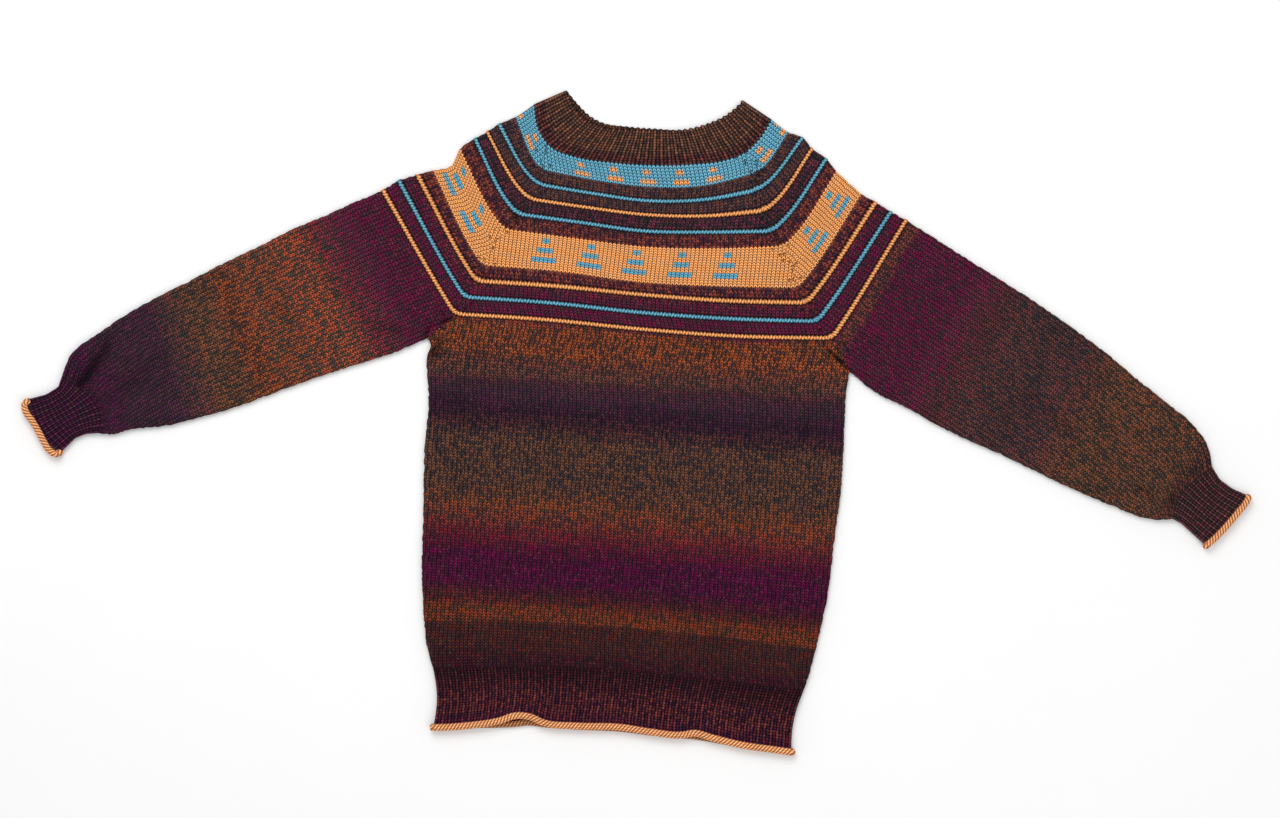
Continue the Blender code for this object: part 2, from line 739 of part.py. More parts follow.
def build_cuff(hand, sleeve, table):
    """Ribbed cuff as a closed tube pressed flat, and the roll at its end."""
    joins = {"front": Line(row_nodes(sleeve[-1], SLEEVE_FRONT_COLUMNS), smooth=False),
             "back": Line(row_nodes(sleeve[-1], SLEEVE_BACK_COLUMNS), smooth=False)}
    lines = [Line(np.reshape(points, (3, 2))) for points in table]
    rows = {}
    for layer, join in joins.items():
        rows[layer] = [Row(join, sleeve[-1].fold_height, sleeve[-1].laid)]
        for line, (_, laid, fold_height, lift) in zip(lines, CUFF_LEVELS):
            rows[layer].append(Row(line, fold_height, laid, lift))
    outer, inner = wrapped_grids(rows["front"], rows["back"], 2 * CUFF_RIBS, CUFF_BACK_COLUMNS, closed=True)
    raise_ribs(outer, CUFF_RIBS, 1)
    columns = range(outer.shape[1])
    add_wall("cuff_" + hand, outer, inner, range(len(outer)), columns, RIB_CHARCOAL, closed=True)
    towards_hand = 1 if hand == "left" else -1
    end = lines[-1].shifted(towards_hand * (CUFF_ROLL_HALF_WIDTH + SEAM_GAP)).lengthened(CUFF_ROLL_OVERHANG)
    add_roll("cuff_roll_" + hand, end, end, CUFF_ROLL_COLUMNS, CUFF_ROLL_COLUMNS // 2, CUFF_ROLL_HALF_WIDTH)


def centre_on_base():
    """Move the whole garment so that its box is centred on the origin and stands on Z = 0."""
    corners = np.array([vertex.co for item in bpy.data.objects for vertex in item.data.vertices])
    low, high = corners.min(axis=0), corners.max(axis=0)
    shift = -np.array([(low[0] + high[0]) / 2, (low[1] + high[1]) / 2, low[2]])
    for item in bpy.data.objects:
        for vertex in item.data.vertices:
            vertex.co = np.array(vertex.co) + shift


def main():
    for item in list(bpy.data.objects):
        bpy.data.objects.remove(item, do_unlink=True)
    join, edge, back_edge = neck_lines()
    body = build_body(join)
    sleeves = {
        "left": build_sleeve(join, "left", SLEEVE_LEFT_ROWS),
        "right": build_sleeve(join, "right", SLEEVE_RIGHT_ROWS),
    }
    build_neckband(join, edge, back_edge, body, sleeves)
    build_hem(body)
    build_cuff("left", sleeves["left"], CUFF_LEFT_ROWS)
    build_cuff("right", sleeves["right"], CUFF_RIGHT_ROWS)
    centre_on_base()


main()
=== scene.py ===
"""Looks of a hand-knitted raglan sweater that lies flat with its front upwards.

Each piece is a thin wall of knitting on its solid's form, worked out course by course from the same
tables of sizes, in millimetres. Its "knit" map gives every point its wale and its course in stitches,
and the materials draw the stitches, the marled wool, the stripes and the trees from that map.
"""
import math

import bpy
import numpy as np
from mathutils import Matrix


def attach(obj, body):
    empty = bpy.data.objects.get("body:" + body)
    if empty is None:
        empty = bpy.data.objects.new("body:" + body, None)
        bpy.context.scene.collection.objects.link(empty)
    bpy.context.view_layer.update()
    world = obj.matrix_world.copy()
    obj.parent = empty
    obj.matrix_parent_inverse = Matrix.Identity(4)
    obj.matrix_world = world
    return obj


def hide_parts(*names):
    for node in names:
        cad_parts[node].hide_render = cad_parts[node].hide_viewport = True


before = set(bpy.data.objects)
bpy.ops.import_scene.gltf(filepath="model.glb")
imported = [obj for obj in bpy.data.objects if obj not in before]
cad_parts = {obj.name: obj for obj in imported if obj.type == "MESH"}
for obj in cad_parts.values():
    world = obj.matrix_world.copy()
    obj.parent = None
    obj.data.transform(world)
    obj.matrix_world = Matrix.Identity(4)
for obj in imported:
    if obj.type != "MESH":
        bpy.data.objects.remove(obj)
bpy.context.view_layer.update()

# Metres in a millimetre, and a distance in millimetres that is longer than any row
MM = 0.001
FAR = 1e3

# Cloth, in millimetres
WALL = 2.2
LAID_HEIGHT = 4.7
BODY_FOLD_HEIGHT = 7.2
FOLD_REACH = 38.0
STITCH = 4.94
COURSE = 3.4
RIB_RELIEF = 0.9
CORD_RELIEF = 1.0
CORD_HALF_WIDTH = 2.7
CORNER_REACH = 10.0
EDGE_UNEVENNESS = 0.45
EDGE_LIMIT = 0.9
SEAM_INSET = 0.5
FOLD_INSET = 0.4
ARMPIT_NOTCH = 4.5
SEAM_REACH = 17.0
BIND_OFF = 2.0
PLAN_SHIFT = (-0.74, 0.0)

# Stretches down the cloth, in courses
SHORTEST_COURSE = 0.4
PLAIN_END = 3
CORNER_CUT = 0.6
CORNER_FADE_IN = 7.0
CORNER_FADE_OUT = 9.0
NOTCH_COURSES = 1.5
NOTCH_FADE = 4.5
GATHER_REACH = 9.0

# Stretches along a row, in stitches
CORD_STROKE = 0.7
PANEL_SHIFT = 1.5
SLEEVE_SHIFTS = {"left": 0.5, "right": 0.0}

# Angles of a fold's turn in degrees, steps of a curve, and columns of a mesh's front
FOLD_TURN = (0.0, 15.0, 30.0, 45.0, 60.0, 75.0, 90.0)
SMOOTH_STEPS = 8
LINE_STEPS = 200
FRONT_COLUMNS = 204
SLEEVE_COLUMNS = 72

# Painted shade in hollows and on the inner side, as shares
HOLLOW_SHARE = 0.4
HOLLOW_LIMIT = 0.8
INSIDE_SHADE = 0.35

# Yoke rows: name, course, ends on the raglan seams and the shoulder folds, fold height and sags
YOKE_ROWS = (
    # name, course, left_seam, right_seam, left_fold, right_fold, fold_height, sags
    ("neck", 0.0, (-107, 333), (130, 325), (-121, 380), (160, 362), 4.7, (19, 21, 18)),
    ("blue_end", 7.0, (-114, 303), (143, 299), (-143, 365), (180, 347), 5.8, (12, 19, 17)),
    ("cord_1", 12.5, (-117, 284), (143, 277), (-164, 356), (198, 340), 6.6, (9, 16, 13)),
    ("cord_2", 18.5, (-128, 267), (153, 253), (-178, 347), (209, 327), 7.2, (7, 12, 10)),
    ("cord_3", 24.5, (-142, 249), (161, 228), (-192, 339), (226, 315), 7.2, (5, 10, 6)),
    ("orange_start", 30.0, (-156, 232), (174, 212), (-209, 328), (237, 301), 7.2, (6, 11, 8)),
    ("orange_middle", 37.5, (-170, 211), (183, 187), (-221, 306), (252, 287), 7.2, (3, 9, 6)),
    ("orange_end", 45.0, (-184, 189), (192, 162), (-241, 301), (267, 274), 7.2, (1, 7, 5)),
    ("cord_4", 49.5, (-191, 169), (203, 143), (-261, 296), (285, 263), 7.2, (0, 3, 4)),
    ("cord_5", 55.5, (-205, 150), (215, 121), (-283, 289), (303, 252), 7.2, (0, 4, 4)),
    ("cord_6", 61.5, (-216, 130), (233, 101), (-302, 278), (321, 242), 7.2, (0, 4, 5)),
    ("armpit", 72.0, (-249, 101), (254, 61), (-341, 261), (354, 221), 7.2, (2, 4, 4)),
)
ARMPIT = 72.0
BLUE_CORDS = (12.5, 24.5, 55.5)
ORANGE_CORDS = (18.5, 49.5, 61.5)
BLUE_BAND = (0.0, 7.0)
YOKE_SLEEVE_BOW = ((0, 10, 30, 45, 72), (0.0, 4.0, 4.0, 2.5, 0.0))
ORANGE_BAND = (30.0, 45.0)

# Body rows below the armpits: ends on the side folds, and how far the row sags
BODY_ROWS = (
    # left_x, left_y, right_x, right_y, sags
    (-250, 68, 250, 37, (1, 2, 2)),
    (-248, 33, 248, -2, (0, 0, 0)),
    (-253, -32, 245, -68, (0, 0, 0)),
    (-254, -104, 236, -139, (0, 0, 0)),
    (-256, -169, 228, -205, (-1, -2, -1)),
    (-254, -225, 216, -261, (-4, -6, -3)),
    (-249, -270, 206, -300, (-7, -9, -5)),
    (-242, -292, 199, -318, (-9, -11, -6)),
)

# Sleeve rows from the armpit to the cuff, as in the solids
SLEEVE_ROWS = {
    "left": (
        # under_x, under_y, upper_x, upper_y, bow, laid_height, fold_height
        (-279, 87, -369, 248, 0, 4.9, 7.2),
        (-327, 71, -412, 230, 0, 5.1, 7.2),
        (-374, 56, -453, 209, 0, 5.3, 7.2),
        (-422, 39, -493, 190, 0, 5.4, 7.2),
        (-469, 21, -531, 170, 0, 5.5, 7.2),
        (-517, 7, -569, 151, 0, 5.8, 7.4),
        (-561, -4, -605, 131, 2, 6.2, 7.8),
        (-600, -8, -638, 109, 8, 6.4, 8.0),
        (-629, -14, -674, 81, 14, 6.2, 7.8),
        (-641, -12, -684, 55, 20, 5.2, 7.0),
    ),
    "right": (
        # under_x, under_y, upper_x, upper_y, bow, laid_height, fold_height
        (280, 39, 387, 200, 0, 4.9, 7.2),
        (328, 14, 428, 174, 0, 5.1, 7.2),
        (373, -11, 468, 149, 0, 5.3, 7.2),
        (423, -33, 511, 119, 0, 5.4, 7.2),
        (473, -57, 554, 88, 0, 5.5, 7.2),
        (523, -81, 597, 52, 0, 5.8, 7.4),
        (566, -99, 632, 24, 2, 6.2, 7.8),
        (602, -113, 663, -2, 7, 6.4, 8.0),
        (623, -116, 680, -27, 11, 6.2, 7.8),
        (638, -114, 685, -52, 12, 5.2, 7.0),
    ),
}
CUFF_ROWS = {
    "left": (
        # under_x, under_y, middle_x, middle_y, upper_x, upper_y
        (-655, -13, -665, 15, -688, 43),
        (-668, -18, -687, 3, -702, 34),
        (-686, -36, -711, -9, -725, 28),
    ),
    "right": (
        # under_x, under_y, middle_x, middle_y, upper_x, upper_y
        (649, -120, 668, -89, 694, -67),
        (661, -131, 685, -102, 709, -78),
        (675, -144, 704, -116, 727, -86),
    ),
}

# Levels of the ribs from their join to the rolled edge
CUFF_LEVELS = (
    # along, laid_height, fold_height, lift
    (0.0, 5.2, 7.0, 0.0),
    (0.33, 5.0, 6.6, 0.0),
    (0.67, 5.6, 6.6, 0.3),
    (1.0, 8.2, 8.2, 2.4),
)
HEM_LEVELS = (
    # along, laid_height, fold_height, lift
    (0.0, 4.7, 7.2, 0.0),
    (0.35, 4.7, 7.0, 0.0),
    (0.72, 5.3, 7.0, 0.0),
    (1.0, 8.2, 8.2, 2.4),
)
HEM_DRAW_IN = 4.0
NECK_COURSES = 13
HEM_COURSES = 21
CUFF_COURSES = 14

# Neckband sections, the raglan seams' places among them, and the ribs on the front of each piece
NECKBAND_SECTIONS = (
    # edge_x, edge_y, join_x, join_y, back_rise
    (-84, 396, -121, 380, 0),
    (-74, 375, -117, 353, 6),
    (-62, 361, -102, 330, 7.5),
    (-43, 352, -70, 317, 6),
    (-14, 349, -29, 311, 4),
    (22, 348, 18, 308, 2),
    (57, 349, 66, 309, 0),
    (85, 356, 102, 313, 0),
    (105, 365, 127, 322, 0),
    (117, 374, 147, 341, 0),
    (127, 384, 160, 362, 0),
)
LEFT_RAGLAN_SECTION = 1.72
RIGHT_RAGLAN_SECTION = 8.15
NECK_RIBS = 35
HEM_RIBS = 56
CUFF_RIBS = 12
RIB_COLUMNS = 8
HEM_RIB_START = 0.12

# Painted shade in the furrows of each rib
NECK_SHADE = 0.22
HEM_SHADE = 0.25
CUFF_SHADE = 0.35

# Hem's lower edge: its two ends, and its rise between them
HEM_LEFT_END = (-246, -362)
HEM_RIGHT_END = (189, -392)
HEM_WAVES = (
    # across, front_rise, back_rise
    (0.0, 0, 0),
    (0.05, 2, 2),
    (0.11, 6, 6),
    (0.19, 14, 9),
    (0.23, 21, 11),
    (0.27, 21, 14),
    (0.31, 15, 13),
    (0.40, 14, 13),
    (0.52, 16, 14),
    (0.60, 13, 12),
    (0.69, 12, 11),
    (0.72, 15, 11),
    (0.77, 11, 9),
    (0.85, 5, 5),
    (0.94, 2, 2),
    (1.0, 0, 0),
)

# Rolled edges: sizes in millimetres, turn in degrees, painted shade of the lower run as a share, stroke in
# stitches, rows round them
HEM_ROLL_HALF_WIDTH = 4.1
CUFF_ROLL_HALF_WIDTH = 3.8
ROLL_UPPER_HALF = 3.2
ROLL_LOWER_HALF = 2.6
ROLL_GAP = 0.3
ROLL_SIDES = 20
ROLL_STEP = 1.3
UNDER_SHADE = 0.45
ROLL_STROKE = 0.86
ROLL_TURN = (-75, -60, -45, -30, -15, 0, 15, 30, 45, 60, 75)
ROLL_END_TUCK = 5.0
ROLL_OVERLAP = 0.6
ROLL_ROWS = 4
CUFF_ROLLS = {
    "left": (
        # x, y
        (-683.6, -32.1), (-689.6, -36.9), (-697.4, -32.8), (-703.8, -23.2), (-710.6, -10.4), (-718.6, 3.2),
        (-725.6, 13.0), (-727.4, 22.2), (-721.0, 28.2),
    ),
    "right": (
        # x, y
        (674.5, -148.5), (679.5, -144.0), (686.5, -138.0), (695.5, -129.0), (705.0, -118.5),
        (714.5, -107.0), (722.5, -97.5), (727.0, -90.0), (727.8, -84.5),
    ),
}

# Folds and creases of the front: centre, half length, half width, heading in degrees and height
CREASES = (
    # x, y, half_length, half_width, heading, height
    # left cuff
    (-650, 62, 27, 8, 56, -2.0),
    (-663, 45, 13, 4.5, 58, -1.2),
    (-632, 90, 16, 6, 52, -0.9),
    (-672, 66, 20, 6, 60, 1.2),
    (-626, 58, 40, 12, 50, 1.4),
    (-600, 52, 30, 12, 40, -0.8),
    # right cuff
    (637, -89, 8, 3.0, 60, -1.7),
    (648, -66, 16, 3.5, -52, -0.7),
    (655, -40, 22, 6, -62, 1.2),
    (628, -60, 30, 9, -48, 0.9),
    (606, -82, 22, 6, -35, -0.8),
    # left armpit
    (-227, 122, 10, 3.0, 25, -2.2),
    (-237, 93, 11, 3.6, 52, -2.2),
    (-239, 82, 9, 3.2, 15, -2.0),
    (-249, 109, 8, 2.6, 62, -2.4),
    (-232, 105, 13, 5, 48, 1.2),
    (-243, 88, 8, 3.5, 35, 0.9),
    (-214, 112, 16, 6, 20, 0.7),
    (-272, 118, 26, 7, 152, 0.9),
    (-296, 112, 34, 6, 160, -0.7),
    # right armpit
    (241, 75, 18, 2.4, -44, -2.4),
    (229, 86, 5, 2.2, -40, -1.8),
    (258, 76, 26, 6, -40, 1.2),
    (286, 92, 40, 9, 25, 0.8),
    (240, 56, 14, 4, 60, 0.7),
    # body
    (-226, 30, 42, 9, 96, 0.9),
    (-208, 10, 30, 6, 104, -0.5),
    (218, -30, 50, 10, 82, 0.9),
    (204, 0, 26, 6, 75, -0.5),
    (-60, 20, 70, 8, 4, 0.5),
    (96, 8, 60, 7, -6, 0.5),
    (-228, -238, 26, 6, 74, 0.9),
    (-212, -252, 22, 4, 82, -0.6),
    (-120, -276, 20, 5, 86, 0.6),
    (64, -282, 18, 4, 94, 0.5),
    (176, -268, 24, 6, 102, 0.8),
    (-96, -318, 26, 7, 84, 0.9),
    (118, -334, 24, 6, 92, 0.7),
    # sleeves
    (-470, 100, 50, 9, 150, 0.7),
    (-420, 130, 38, 6, 140, -0.5),
    (-548, 66, 40, 8, 158, 0.7),
    (452, 60, 52, 9, -38, 0.7),
    (500, 4, 40, 7, -46, -0.5),
    (560, -30, 38, 8, -30, 0.7),
)

# Troughs of the back, whose lower side they draw up off the floor
BACK_CREASES = (
    # x, y, half_length, half_width, heading, height
    (-190, 96, 44, 8, 36, 1.1),
    (-214, 52, 38, 7, 64, 0.9),
    (-168, 40, 30, 5, 50, 0.7),
    (188, 62, 46, 8, -34, 1.1),
    (210, 10, 40, 7, -66, 0.9),
    (150, 22, 26, 5, -48, 0.6),
    (-40, -60, 90, 9, 6, 0.8),
    (70, -130, 76, 8, -8, 0.7),
    (-110, -190, 58, 7, 12, 0.8),
    (-150, -262, 24, 5, 84, 0.8),
    (10, -286, 28, 5, 90, 0.7),
    (132, -280, 22, 5, 97, 0.9),
    (-20, 250, 60, 7, -4, 0.7),
    (40, 170, 66, 8, 5, 0.6),
    (-330, 150, 34, 7, 70, 0.9),
    (-440, 118, 46, 8, 155, 0.9),
    (-566, 70, 34, 7, 135, 1.0),
    (-640, 40, 20, 5, 60, 0.9),
    (350, 120, 36, 7, -72, 0.9),
    (470, 36, 48, 8, -40, 0.9),
    (590, -50, 36, 7, -20, 1.0),
    (650, -78, 20, 5, -58, 0.9),
)

# Photograph's frame: its size in pixels and the millimetres of one pixel
PHOTO_SIZE = (1280, 818)
PHOTO_SCALE = 1.19
PHOTO_ORIGIN = (636.5, 423.0)
LENS = 80.0
SENSOR = 36.0

# Floor and lights of the studio: lengths in metres, power in watts
FLOOR_SIZE = 8.0
FLOOR_DROP = 0.0004
WORLD_LIGHT = 0.7
LIGHTS = (
    # name, place, size, power
    ("key", (-0.5, 1.6, 2.2), 1.6, 36.0),
    ("fill", (1.2, -1.2, 2.6), 2.4, 16.0),
)


def smooth_points(points):
    """Points along a smooth curve through the given plan points."""
    knots = np.array(points, float)
    marks = np.concatenate(([0.0], np.cumsum(np.linalg.norm(np.diff(knots, axis=0), axis=1))))
    slopes = np.gradient(knots, marks, axis=0)
    share = np.arange(1, SMOOTH_STEPS + 1)[:, None] / SMOOTH_STEPS
    rise = share * share * (3 - 2 * share)
    curve = [knots[:1]]
    for index in range(len(knots) - 1):
        span = marks[index + 1] - marks[index]
        leave = share * (1 - share) ** 2 * span * slopes[index]
        arrive = share * share * (share - 1) * span * slopes[index + 1]
        curve.append(knots[index] * (1 - rise) + knots[index + 1] * rise + leave + arrive)
    return np.concatenate(curve)


class Line:
    """A plan curve measured by the distance along it."""

    def __init__(self, points, smooth=True):
        self.points = smooth_points(points) if smooth else np.array(points, float)
        steps = np.linalg.norm(np.diff(self.points, axis=0), axis=1)
        self.marks = np.concatenate(([0.0], np.cumsum(steps)))
        self.length = self.marks[-1]

    def at(self, distance):
        """Plan points at one distance or at an array of them."""
        return np.stack([np.interp(distance, self.marks, self.points[:, axis]) for axis in (0, 1)], axis=-1)

    def shares(self, shares):
        return self.at(np.asarray(shares) * self.length)

    def normal(self, distance):
        """Unit vectors to the left of the curve's direction."""
        ahead = self.at(distance + 1.0) - self.at(distance - 1.0)
        turned = np.stack([-ahead[..., 1], ahead[..., 0]], axis=-1)
        return turned / np.linalg.norm(turned, axis=-1, keepdims=True)

    def part(self, start, end):
        """The stretch between two distances, from start to end."""
        inner = [mark for mark in self.marks if min(start, end) + 0.1 < mark < max(start, end) - 0.1]
        inner = inner if start < end else inner[::-1]
        return Line(self.at(np.array([max(start, 0.0), *inner, end])), smooth=False)

    def shifted(self, offset):
        """The curve moved sideways, positive to the left of its direction."""
        return Line(self.at(self.marks) + offset * self.normal(self.marks), smooth=False)


class Border(Line):
    """A seam or fold through the ends of the table's rows, found again by its course."""

    def __init__(self, courses, points):
        super().__init__(points)
        self.courses = courses
        self.knots = self.marks[::SMOOTH_STEPS]

    def at_course(self, course):
        return self.at(np.interp(course, self.courses, self.knots))


def ease(value):
    """Smooth step from 0 to 1."""
    value = np.clip(value, 0.0, 1.0)
    return value * value * (3 - 2 * value)


def crease_relief(points, creases):
    """Height that the folds and creases of one layer add at plan points."""
    height = np.zeros(points.shape[:-1])
    for x, y, half_length, half_width, heading, rise in creases:
        angle = math.radians(heading)
        offset = points - np.array([x, y])
        along = (offset[..., 0] * math.cos(angle) + offset[..., 1] * math.sin(angle)) / half_length
        across = (offset[..., 1] * math.cos(angle) - offset[..., 0] * math.sin(angle)) / half_width
        height += rise * np.exp(-along * along - across * across)
    return height


def hollows(grid, on_front):
    """How deep each point of an outer face lies in a hollow, from 0 to 1, as painted shade for its colour.
    """
    plan = grid[..., :2]
    troughs = [crease for crease in CREASES if crease[-1] < 0]
    depth = np.where(on_front, -crease_relief(plan, troughs), crease_relief(plan, BACK_CREASES))
    return np.clip(depth * HOLLOW_SHARE, 0.0, HOLLOW_LIMIT)


class Row:
    """A section across one or two layers, with a fold or a flat seam at each end."""

    def __init__(self, line, fold_height, laid=LAID_HEIGHT, lift=0.0, start_fold=1.0, end_fold=1.0):
        self.line = line
        self.laid = laid
        self.lift = lift
        self.fold_height = max(fold_height, laid)
        self.radius = (self.fold_height - lift) / 2
        self.middle = lift + self.radius
        self.folds = (start_fold, end_fold)

    def cut_length(self):
        """Length of one layer of the row, round its half of each fold."""
        return self.line.length + math.pi * self.radius * sum(self.folds) / 2

    def front_height(self, distance):
        """Height of the front layer's outer face, without its raised knitting."""
        fullness = np.zeros_like(distance)
        for away, weight in zip((distance, self.line.length - distance), self.folds):
            fullness = np.maximum(fullness, weight * (1 - ease((away - self.radius) / FOLD_REACH)))
        rise = (self.fold_height - self.laid) * fullness
        rise += (1 - fullness) * crease_relief(self.line.at(distance), CREASES)
        height = np.maximum(self.laid + rise, self.lift + LAID_HEIGHT)
        return height + self.back_height(distance) - self.lift

    def back_height(self, distance):
        """Height of the back layer's outer face, which its troughs draw up off the floor."""
        from_start = distance + FAR * (1 - self.folds[0])
        from_end = self.line.length - distance + FAR * (1 - self.folds[1])
        away = np.minimum(from_start, from_end)
        flat = ease((away - self.radius) / FOLD_REACH)
        return self.lift + flat * crease_relief(self.line.at(distance), BACK_CREASES)

    def layer(self, side, count):
        """Outer and inner points of the front layer (side 1) or the back one (-1), start to end."""
        turn = np.radians(FOLD_TURN)
        middle = np.linspace(0, 1, count + 1)[1:-1]
        length = self.line.length
        curl = self.radius * (1 - np.cos(turn))
        between = self.radius + middle * (length - 2 * self.radius)
        distance = np.concatenate((curl, between, length - curl[::-1]))
        outer = self.front_height(distance) if side > 0 else self.back_height(distance)
        heights = (outer, outer - side * WALL)
        faces = []
        for height, radius in zip(heights, (self.radius, self.radius - WALL)):
            along = distance.copy()
            height = height.copy()
            depth = self.radius - radius * np.cos(turn)
            level = self.middle + side * radius * np.sin(turn)
            first, last = slice(0, len(turn)), slice(len(distance) - len(turn), None)
            for part, weight, place, rise in (
                    (first, self.folds[0], depth, level),
                    (last, self.folds[1], length - depth[::-1], level[::-1])):
                along[part] = along[part] * (1 - weight) + place * weight
                height[part] = height[part] * (1 - weight) + rise * weight
            faces.append(np.column_stack((self.line.at(along), height)))
        return faces

    def wrapped(self, back, front_count, back_count, closed):
        """Outer and inner points over the front, round the end fold and along the back."""
        faces = []
        for front_face, back_face in zip(self.layer(1, front_count), back.layer(-1, back_count)):
            returned = back_face[::-1][1:]
            faces.append(np.concatenate((front_face, returned[:-1] if closed else returned)))
        return faces


def sagging(start, end, sags):
    """A row from one end to the other that hangs below the straight line."""
    points = [start + (end - start) * share - np.array([0, sag])
              for share, sag in zip((0, 0.25, 0.5, 0.75, 1), (0, *sags, 0))]
    return Line(points)


def line_between(first, second, share, steps=LINE_STEPS):
    """The line that lies a share of the way from one line to another."""
    places = np.linspace(0, 1, steps + 1)
    return Line(first.shares(places) * (1 - share) + second.shares(places) * share, smooth=False)


def yoke_column(name):
    names = ("name", "course", "left_seam", "right_seam", "left_fold", "right_fold", "fold_height", "sags")
    return [row[names.index(name)] for row in YOKE_ROWS]


def course_list(last):
    """Every course up to the last as a row of the mesh, with more of them across each cord."""
    courses = set(np.arange(0.0, last + 0.5, 1.0))
    half = CORD_HALF_WIDTH / COURSE
    for cord in BLUE_CORDS + ORANGE_CORDS:
        courses = {course for course in courses if abs(course - cord) > half + 0.1}
        courses |= {cord + half * share for share in (-1.0, -0.7, -0.35, 0.0, 0.35, 0.7, 1.0)}
    return sorted(course for course in courses if course < last - SHORTEST_COURSE) + [last]


def cord_relief(course):
    nearest = min(abs(course - cord) for cord in BLUE_CORDS + ORANGE_CORDS)
    share = min(nearest * COURSE / CORD_HALF_WIDTH, 1.0)
    return CORD_RELIEF * math.sqrt(1 - share * share)


def neck_lines():
    """The neckband's join with the yoke and its front and back edges, from left fold to right fold."""
    table = np.array(NECKBAND_SECTIONS, float)
    edge, join, rise = table[:, 0:2], table[:, 2:4], table[:, 4:5]
    outward = (edge - join) / np.linalg.norm(edge - join, axis=1, keepdims=True)
    return Line(join), Line(edge), Line(edge + outward * rise)


def raglan_marks(join):
    return [np.interp(section * SMOOTH_STEPS, range(len(join.marks)), join.marks)
            for section in (LEFT_RAGLAN_SECTION, RIGHT_RAGLAN_SECTION)]


def fitted(line, first_line, neck_line, course):
    """A yoke row moved as the first one is to meet the neckband's join, and less with each course."""
    weight = 1 - ease(course / BLUE_BAND[1])
    if weight == 0:
        return line
    places = np.linspace(0, 1, LINE_STEPS + 1)
    points = line.shares(places) + weight * (neck_line.shares(places) - first_line.shares(places))
    return Line(points, smooth=False)


def rounded(line, ends, course):
    """A yoke row whose ends are drawn up the raglan seams, so that it turns their corners in a curve."""
    places = np.linspace(0, 1, 2 * LINE_STEPS + 1)
    points = line.shares(places)
    cut = CORNER_CUT * ease(course / CORNER_FADE_IN) * ease((ARMPIT - course) / CORNER_FADE_OUT)
    for away, seam in zip((places * line.length, (1 - places) * line.length), ends):
        if seam is not None and cut > 0:
            pull = seam.at_course(course - cut) - seam.at_course(course)
            points += pull * (np.clip(1 - away / CORNER_REACH, 0, 1) ** 2)[:, None]
    return Line(points, smooth=False)


def uneven(count, seed):
    """Small sideways steps of a knitted edge, in millimetres, one for each row."""
    steps = np.random.default_rng(seed).normal(0.0, EDGE_UNEVENNESS, count)
    return np.clip(steps, -EDGE_LIMIT, EDGE_LIMIT)


def body_rows(join):
    """Every course of the front and back, and its row."""
    yoke_courses = yoke_column("course")
    body_table = np.array([row[:4] for row in BODY_ROWS], float)
    sags = np.array(yoke_column("sags") + [row[4] for row in BODY_ROWS], float)
    ends = {}
    first = {"left": yoke_column("left_seam"), "right": yoke_column("right_seam")}
    middles = [(np.array(first["left"][-1]) + first["right"][-1]) / 2]
    middles += list((body_table[:, 0:2] + body_table[:, 2:4]) / 2)
    steps = np.linalg.norm(np.diff(np.array(middles), axis=0), axis=1)
    body_courses = list(ARMPIT + np.concatenate(([0.0], np.cumsum(steps))) / COURSE)
    for hand, columns in (("left", slice(0, 2)), ("right", slice(2, 4))):
        yoke = Border(yoke_courses, first[hand])
        body = Border(body_courses, [first[hand][-1], *body_table[:, columns]])
        ends[hand] = (yoke, body)
    all_courses = yoke_courses + body_courses[1:]
    left_mark, right_mark = raglan_marks(join)
    neck_line = join.part(left_mark, right_mark)
    last = body_courses[-1]
    courses = course_list(last)
    first_line = sagging(ends["left"][0].at_course(0), ends["right"][0].at_course(0), sags[0])
    rows = []
    steps = uneven(2 * len(courses), 3).reshape(-1, 2)
    for course, (left_step, right_step) in zip(courses, steps):
        below = int(course > ARMPIT)
        row_sags = [np.interp(course, all_courses, sags[:, column]) for column in range(3)]
        left_end, right_end = (ends[hand][below].at_course(course) for hand in ("left", "right"))
        line = sagging(left_end, right_end, row_sags)
        line = fitted(line, first_line, neck_line, course)
        if below:
            below_armpit = course - ARMPIT
            notch = ARMPIT_NOTCH * ease(below_armpit / NOTCH_COURSES)
            notch *= 1 - ease((below_armpit - NOTCH_COURSES) / NOTCH_FADE)
            start, end = SEAM_INSET + left_step + notch, line.length - SEAM_INSET - right_step
            line = line.part(start, end) if course < last - PLAIN_END else line
        else:
            line = rounded(line, (ends["left"][0], ends["right"][0]), course)
        fold = ease((course - ARMPIT) / (body_courses[1] - ARMPIT))
        rows.append(Row(line, BODY_FOLD_HEIGHT, start_fold=fold, end_fold=fold))
    return courses, rows


